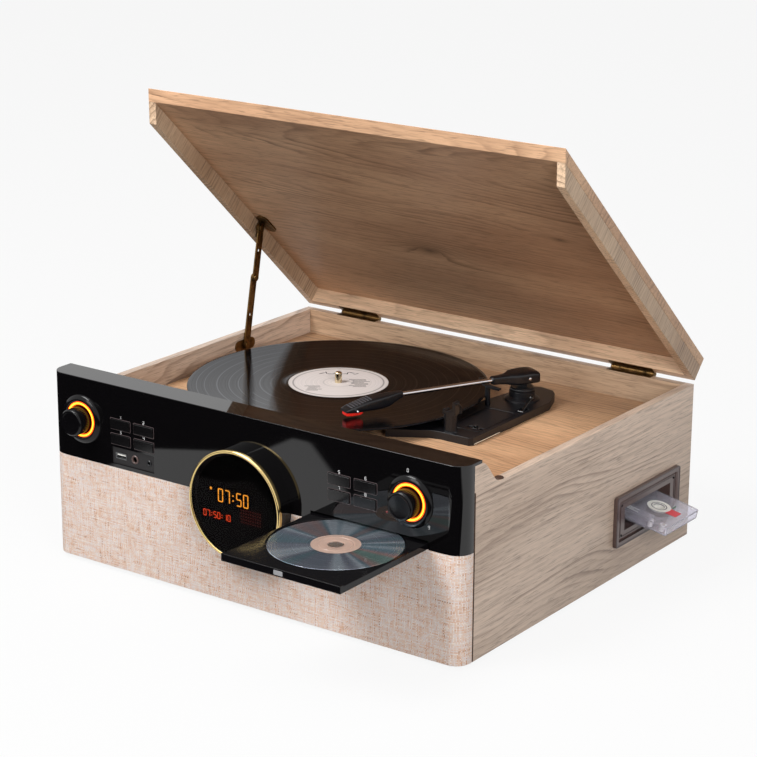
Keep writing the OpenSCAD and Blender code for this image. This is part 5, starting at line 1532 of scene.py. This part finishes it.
@dataclass
class Lid:
    """Lid boards, brass hinges with their screws, and the folding stay."""

    edge: float = 0.5
    leaf_edge: float = 0.12

    def build(self, maker: Maker) -> None:
        """Builds the lid."""
        # Painted light on the lid's board: its front and back edges lighter, and its left end lighter where sheen
        # falls.
        board_oak = Oak("oak_lid", Grain.ACROSS, linear(204, 166, 132), linear(176, 138, 108), turn=LID_TURN, seed=5.3,
                        heart=self.across(60, 0.06), slant=0.16, edge=1.40, painted_light_fade=(0, -0.22, -0.06, 1.25, 1.0),
                        knots=((-0.012, self.across(258)[0], 0.034), (0.170, self.across(188)[0], 0.014)))
        maker.dress("lid_board", board_oak, self.edge)
        maker.dress("lid_walls", OAK_LID_WALLS, self.edge)
        for node in ("hinge_lower_leaves", "hinge_upper_leaves"):
            maker.dress(node, BRASS, self.leaf_edge, 1)
        for node, edge in (("stay_wall_plate", 0.25), ("stay_lid_bracket", 0.25),
                           ("stay_lower_arm", 0.3), ("stay_upper_arm", 0.3)):
            maker.dress(node, BRASS, edge)

    @staticmethod
    def across(y: float, deeper: float = 0.0) -> Point2:
        """Where a line along the lid's board runs in the finish's turned axes.

        Args:
            y: The line's place in the closed lid.
            deeper: How far it lies above the board, in metres.

        Returns:
            Its place across the face and through the board, in metres.
        """
        turned = Matrix.Rotation(LID_TURN, 4, "X") @ (Station.lid() @ Vector((0, y, 175)))
        return turned.y, turned.z + deeper


@dataclass
class CassetteDeck:
    """Framed slot in the right side and the half-inserted cassette."""

    frame_w: float = 122.0
    frame_h: float = 51.0
    length: float = 100.4
    half: float = 31.9
    out: float = 42.0
    reel_pitch: float = 42.5
    reel_up: float = 3.0
    wall: float = 1.4

    def build(self, maker: Maker) -> None:
        """Builds the slot and cassette."""
        maker.dress("cassette_frame", BRONZE, 0.5, where=self.at_rim)
        maker.paint("cassette_chassis", SATIN_BLACK)
        place = Station.right_side(*SLOT)
        w, h = self.frame_w, self.frame_h
        lip = maker.prism(rounded(w - 0.4, h - 0.4, 3), 3.9, 4.35, [rounded(w - 3.4, h - 3.4, 2.4)])
        maker.piece("frame_rim", lip, place, BRONZE_DARK, "cabinet", (), 0.2, 1)
        step = maker.prism(rounded(w - 17, h - 17, 1), 2.5, 3.1, [rounded(w - 19, h - 19, 1)])
        maker.piece("frame_step", step, place, BRONZE_DARK, "cabinet", (), 0.15, 1)
        dots = [(maker.lathe([(0, 2.5), (1.7, 2.5), (1.7, 2.75), (0, 2.75)], 24), Matrix.Translation((x, y, 0)))
                for x in (-w / 2 + 11, w / 2 - 11) for y in (-h / 2 + 10, h / 2 - 10)]
        maker.piece("frame_screws", maker.joined(*dots), place, BLACKOUT, "cabinet")
        shell = Clear("smoky_clear", linear(240, 238, 246), 0.04, 1.3, 0.87)
        self.shell(maker, Station.cassette(), shell)
        self.reels(maker, Station.cassette())
        self.label(maker, Station.cassette())
        self.fittings(maker, Station.cassette())

    def at_rim(self, point: Vector) -> bool:
        """Whether a point of the frame, in the frame's millimetres, is on its outer rim."""
        aside, up = abs(point.y + FRONT_TO_MIDDLE - SLOT[1]), abs(point.z - FOOT_HEIGHT - SLOT[2])
        return aside > self.frame_w / 2 - 3.1 or up > self.frame_h / 2 - 3.1

    @property
    def hubs(self) -> Point2:
        """Where the two hubs lie along the shell."""
        middle = self.out - self.length / 2
        return middle - self.reel_pitch / 2, middle + self.reel_pitch / 2

    @property
    def middle(self) -> float:
        """The shell's middle along its length."""
        return sum(self.hubs) / 2

    def plan(self, inset: float, radius: float) -> list[Point2]:
        """The shell's outline, made smaller by an inset."""
        inner, outer, half = self.out - self.length + inset, self.out - inset, self.half - inset
        return outline([Corner(inner, -half, radius), Corner(outer, -half, radius), Corner(outer, half, radius),
                        Corner(inner, half, radius)])

    def shell(self, maker: Maker, place: Matrix, clear: Clear) -> None:
        """Clear shell: two faces with holes for the hubs, the wall between them and the head blocks."""
        turns = [TAU * k / 24 for k in range(24)]
        holes = [[(x + 5.4 * math.cos(t), self.reel_up + 5.4 * math.sin(t)) for t in turns] for x in self.hubs]
        for low, high, name in ((3.35, 4.35, "shell_top"), (-4.35, -3.35, "shell_bottom")):
            maker.piece(name, maker.prism(self.plan(0, 2.5), low, high, holes), place, clear, "cassette",
                        ("cassette",), 0.25, 1)
        wall = maker.prism(self.plan(0, 2.5), -3.3, 3.3, [self.plan(self.wall, 1.6)])
        maker.piece("shell_wall", wall, place, clear, "cassette", (), 0.2, 1)
        middle = self.middle
        for sign, name in ((1, "head_block_top"), (-1, "head_block_bottom")):
            raised = outline([Corner(middle - 31, -31.4, 0.8), Corner(middle + 31, -31.4, 0.8),
                              Corner(middle + 29.5, -20, 0.8), Corner(middle - 29.5, -20, 0.8)])
            low, high = sorted((sign * 4.3, sign * 5.9))
            maker.piece(name, maker.prism(raised, low, high), place, clear, "cassette", (), 0.3, 1)

    def reels(self, maker: Maker, place: Matrix) -> None:
        """A full and an empty reel, each with its tape and teeth."""
        for x, pack, name in ((self.hubs[0], 19.0, "full_reel"), (self.hubs[1], 12.2, "empty_reel")):
            spot = place @ Matrix.Translation((x, self.reel_up, 0))
            tape = [(10.6, -1.9), (pack, -1.9), (pack, 1.9), (10.6, 1.9)]
            maker.piece(name + "_tape", maker.lathe(tape, 72), spot, TAPE, "cassette")
            ring = [(5.5, -2.4), (10.5, -2.4), (10.5, 2.4), (9.9, 2.7), (8.4, 2.8), (7.9, 2.5), (6.4, 2.5),
                    (6.0, 2.8), (5.5, 2.6)]
            maker.piece(name, maker.lathe(ring, 72), spot, PAPER, "cassette")
            teeth = [(maker.block((2.0, 1.2, 4.6), (4.6, 0, 0)), Matrix.Rotation(TAU * k / 6, 4, "Z"))
                     for k in range(6)]
            maker.piece(name + "_teeth", maker.joined(*teeth), spot, PAPER, "cassette", (), 0.2, 1)

    def label(self, maker: Maker, place: Matrix) -> None:
        """A bare label: a red patch, rings round one hub, a green stroke and plain bars."""
        patch = maker.prism(rounded(11.5, 12, 0.6), 4.36, 4.46)
        maker.piece("red_patch", patch, place @ Matrix.Translation((29.5, 2.0, 0)), CRIMSON, "cassette")
        spot = place @ Matrix.Translation((self.hubs[1], self.reel_up, 0))
        for inner, outer, recipe, name in ((7.9, 11.8, PAPER, "hub_label"), (6.9, 7.9, SLAT, "hub_line"),
                                           (5.6, 6.9, PAPER, "hub_centre")):
            band = [(inner, 4.36), (outer, 4.36), (outer, 4.47), (inner, 4.47)]
            maker.piece(name, maker.lathe(band, 72), spot, recipe, "cassette")
        stroke = maker.block((1.4, 7.0, 0.1), (24.0, 13.5, 4.41))
        maker.piece("green_stroke", stroke, place, GREEN, "cassette")
        bars = [(maker.block((wide, 0.8, 0.1), (self.middle + shift, y, 5.96)), HERE)
                for wide, shift, y in ((40, -4, -29.6), (34, -7, -27.2), (26, 2, -24.8))]
        maker.piece("head_block_bars", maker.joined(*bars), place, PRINT, "cassette")

    def fittings(self, maker: Maker, place: Matrix) -> None:
        """Guide rollers inside the shell and its four screws."""
        inner, outer, half = self.out - self.length, self.out, self.half
        guide = [(1.2, -3.2), (2.6, -3.2), (2.6, 3.2), (1.2, 3.2)]
        rollers = [(maker.lathe(guide, 24), Matrix.Translation((x, y, 0)))
                   for x, y in ((outer - 8, -26), (outer - 20, -27), (inner + 8, -26))]
        maker.piece("guide_rollers", maker.joined(*rollers), place, PAPER, "cassette")
        screw = [(0, 4.3), (1.6, 4.3), (1.6, 4.6), (1.2, 4.8), (0, 4.7)]
        heads = [(maker.lathe(screw, 20), Matrix.Translation((x, y, 0)))
                 for x in (inner + 5, outer - 5) for y in (-half + 5, half - 5)]
        maker.piece("shell_screws", maker.joined(*heads), place, CHROME, "cassette")


@dataclass
class Rear:
    """Socket plate and its sockets, and what is hidden inside the cabinet."""

    plate: tuple[float, float, float] = (120.0, 408.0, 60.0)

    def build(self, maker: Maker) -> None:
        """Builds the rear and paints the inner pieces."""
        maker.dress("rear_socket_plate", STEEL, 0.3)
        place = Station.back(*self.plate)
        ring = [(4.15, 3.6), (5.2, 3.6), (5.2, 6.6), (4.9, 7.0), (4.15, 7.0)]
        for x, colour, name in ((24, linear(200, 30, 26), "red_socket"), (8, linear(236, 236, 232), "white_socket")):
            maker.piece(name, maker.lathe(ring, 48), place @ Matrix.Translation((x, 0, 0)),
                        Moulded(name + "_plastic", colour, 0.35, 0.02), "cabinet")
        for node in ("control_board", "power_board"):
            maker.paint(node, GREEN)
        maker.paint("speakers", SATIN_BLACK)


@dataclass
class Studio:
    """Pale floor, soft lamps and the camera."""

    eye: tuple[float, float, float] = (1.2787, -1.7750, 0.8533)
    target: tuple[float, float, float] = (0.02218, -0.02688, 0.18485)
    lens: float = 112.0
    roll: float = 0.31
    floor_size: float = 12.0

    def build(self, maker: Maker) -> None:
        """Sets the stage."""
        self.world()
        self.floor()
        self.lamp("key_lamp", (-1.1, -1.7, 2.6), 1.4, 82)
        self.lamp("front_lamp", (-0.7, -2.6, 1.3), 1.0, 15)
        self.lamp("side_lamp", (1.9, -1.3, 1.0), 1.0, 38, mirrored=False)
        self.lamp("top_lamp", (0.0, -0.3, 2.6), 1.6, 12)
        self.camera()
        bpy.context.scene.view_settings.view_transform = "Standard"

    def world(self) -> None:
        """White backdrop for what is seen and mirrored, softer for what lights the part."""
        world = bpy.data.worlds.new("studio")
        bpy.context.scene.world = world
        world.use_nodes = True
        tree = world.node_tree
        ground = tree.nodes["Background"]
        path = tree.nodes.new("ShaderNodeLightPath")
        seen = tree.nodes.new("ShaderNodeMath")
        seen.operation = "MAXIMUM"
        tree.links.new(path.outputs["Is Camera Ray"], seen.inputs[0])
        mirrored = tree.nodes.new("ShaderNodeMath")
        mirrored.operation = "MAXIMUM"
        tree.links.new(path.outputs["Is Glossy Ray"], mirrored.inputs[0])
        tree.links.new(path.outputs["Is Transmission Ray"], mirrored.inputs[1])
        tree.links.new(mirrored.outputs[0], seen.inputs[1])
        strength = tree.nodes.new("ShaderNodeMapRange")
        tree.links.new(seen.outputs[0], strength.inputs[0])
        strength.inputs[3].default_value = 0.18
        strength.inputs[4].default_value = 1.0
        ground.inputs[0].default_value = (1, 1, 1, 1)
        tree.links.new(strength.outputs[0], ground.inputs[1])

    def floor(self) -> None:
        """A pale table; of the part of it in front of the cabinet, glossy faces see only a painted white patch on near
        black, a painted reflection.
        """
        mesh = bpy.data.meshes.new("floor")
        half = self.floor_size / 2
        mesh.from_pydata([(-half, -half, 0), (half, -half, 0), (half, half, 0), (-half, half, 0)], [], [(0, 1, 2, 3)])
        plane = linked("floor", mesh)
        make = Shader("pale_floor")
        path = make.add("LightPath")
        cloud = make.noise(make.mapped((1, 1, 1)), 3, 2)
        make.surface(Base_Color=make.tint((0.62, 0.62, 0.62), make.shares(cloud, 0.3, 0.7, 0.99, 1.0)), Roughness=0.9,
                     Specular_IOR_Level=0.1)
        dull = make.add("BsdfDiffuse", {0: (0.22, 0.22, 0.22, 1)})
        white = make.add("Emission", {0: (1, 1, 1, 1), 1: 1.0})
        # Painted dark reflection: what glossy faces see of the floor outside the white patch.
        dim = make.add("Emission", {0: (0.012, 0.012, 0.014, 1), 1: 1.0})
        seen = make.add("MixShader", {0: 0.90, 1: make.principled.outputs[0], 2: white.outputs[0]})
        mirrored = make.add("MixShader", {0: self.patch(make), 1: dim.outputs[0], 2: white.outputs[0]})
        first = make.add("MixShader", {0: path.outputs["Is Camera Ray"], 1: dull.outputs[0], 2: seen.outputs[0]})
        last = make.add("MixShader", {0: path.outputs["Is Glossy Ray"], 1: first.outputs[0], 2: mirrored.outputs[0]})
        make.tree.links.new(last.outputs[0], make.output.inputs[0])
        mesh.materials.append(make.material)

    @staticmethod
    def patch(make: Shader) -> bpy.types.NodeSocket:
        """Share of painted white reflection that glossy faces see on the floor, from straight edges in metres."""
        split = make.add("SeparateXYZ", {0: make.coordinates.outputs["Object"]}).outputs
        across, ahead = split[0], make.math("ADD", split[1], FRONT_TO_MIDDLE * MM)

        def inside(slope: float, start: float) -> bpy.types.NodeSocket:
            """Whether a place lies behind a slanting edge."""
            edge = make.math("MULTIPLY_ADD", across, slope, ahead)
            return make.shares(edge, start - 0.004, start + 0.004, 0, 1)

        left = make.shares(across, -0.378, -0.368, 0, 1)
        step = make.math("MAXIMUM", inside(0.6, -0.52), make.shares(across, -0.274, -0.266, 0, 1))
        near = make.math("MULTIPLY", inside(0, -0.418), inside(-0.82, -0.217))
        front = make.math("MULTIPLY", make.math("MULTIPLY", left, step), near)
        behind = make.math("MULTIPLY", inside(0, -0.18), make.shares(across, -0.27, -0.25, 0, 1))
        beside = make.math("MAXIMUM", make.shares(across, 0.60, 0.66, 0, 1), behind)
        return make.math("MAXIMUM", front, beside)

    def lamp(self, name: str, spot: Sequence[float], size: float, power: float, mirrored: bool = True) -> None:
        """A square soft lamp that faces the part.

        Args:
            name: Its name.
            spot: Its place in metres.
            size: Its side.
            power: Its light in watts.
            mirrored: Whether glossy faces see it.
        """
        data = bpy.data.lights.new(name, "AREA")
        data.shape = "SQUARE"
        data.size = size
        data.energy = power
        made = linked(name, data)
        made.location = spot
        made.visible_glossy = mirrored
        made.rotation_euler = (Vector(spot) - Vector((0, 0, 0.15))).to_track_quat("Z", "Y").to_euler()

    def camera(self) -> None:
        """The photograph's view."""
        data = bpy.data.cameras.new("camera")
        data.lens = self.lens
        data.sensor_width = 36
        data.dof.use_dof = False
        made = linked("camera", data)
        back = (Vector(self.eye) - Vector(self.target)).to_track_quat("Z", "Y").to_matrix().to_4x4()
        turn = back @ Matrix.Rotation(math.radians(self.roll), 4, "Z")
        made.matrix_world = Matrix.Translation(self.eye) @ turn
        bpy.context.scene.camera = made


def main() -> None:
    """Builds every assembly in order."""
    logging.basicConfig(level=logging.INFO, format="%(name)s: %(message)s")
    maker = Maker()
    assemblies = (Cabinet(), Front(), Display(), Controls(), DiscDrive(), Turntable(), Tonearm(), Lid(),
                  CassetteDeck(), Rear(), Studio())
    for assembly in assemblies:
        assembly.build(maker)
        LOG.info("%s is built", type(assembly).__name__)


if __name__ == "__main__":
    main()
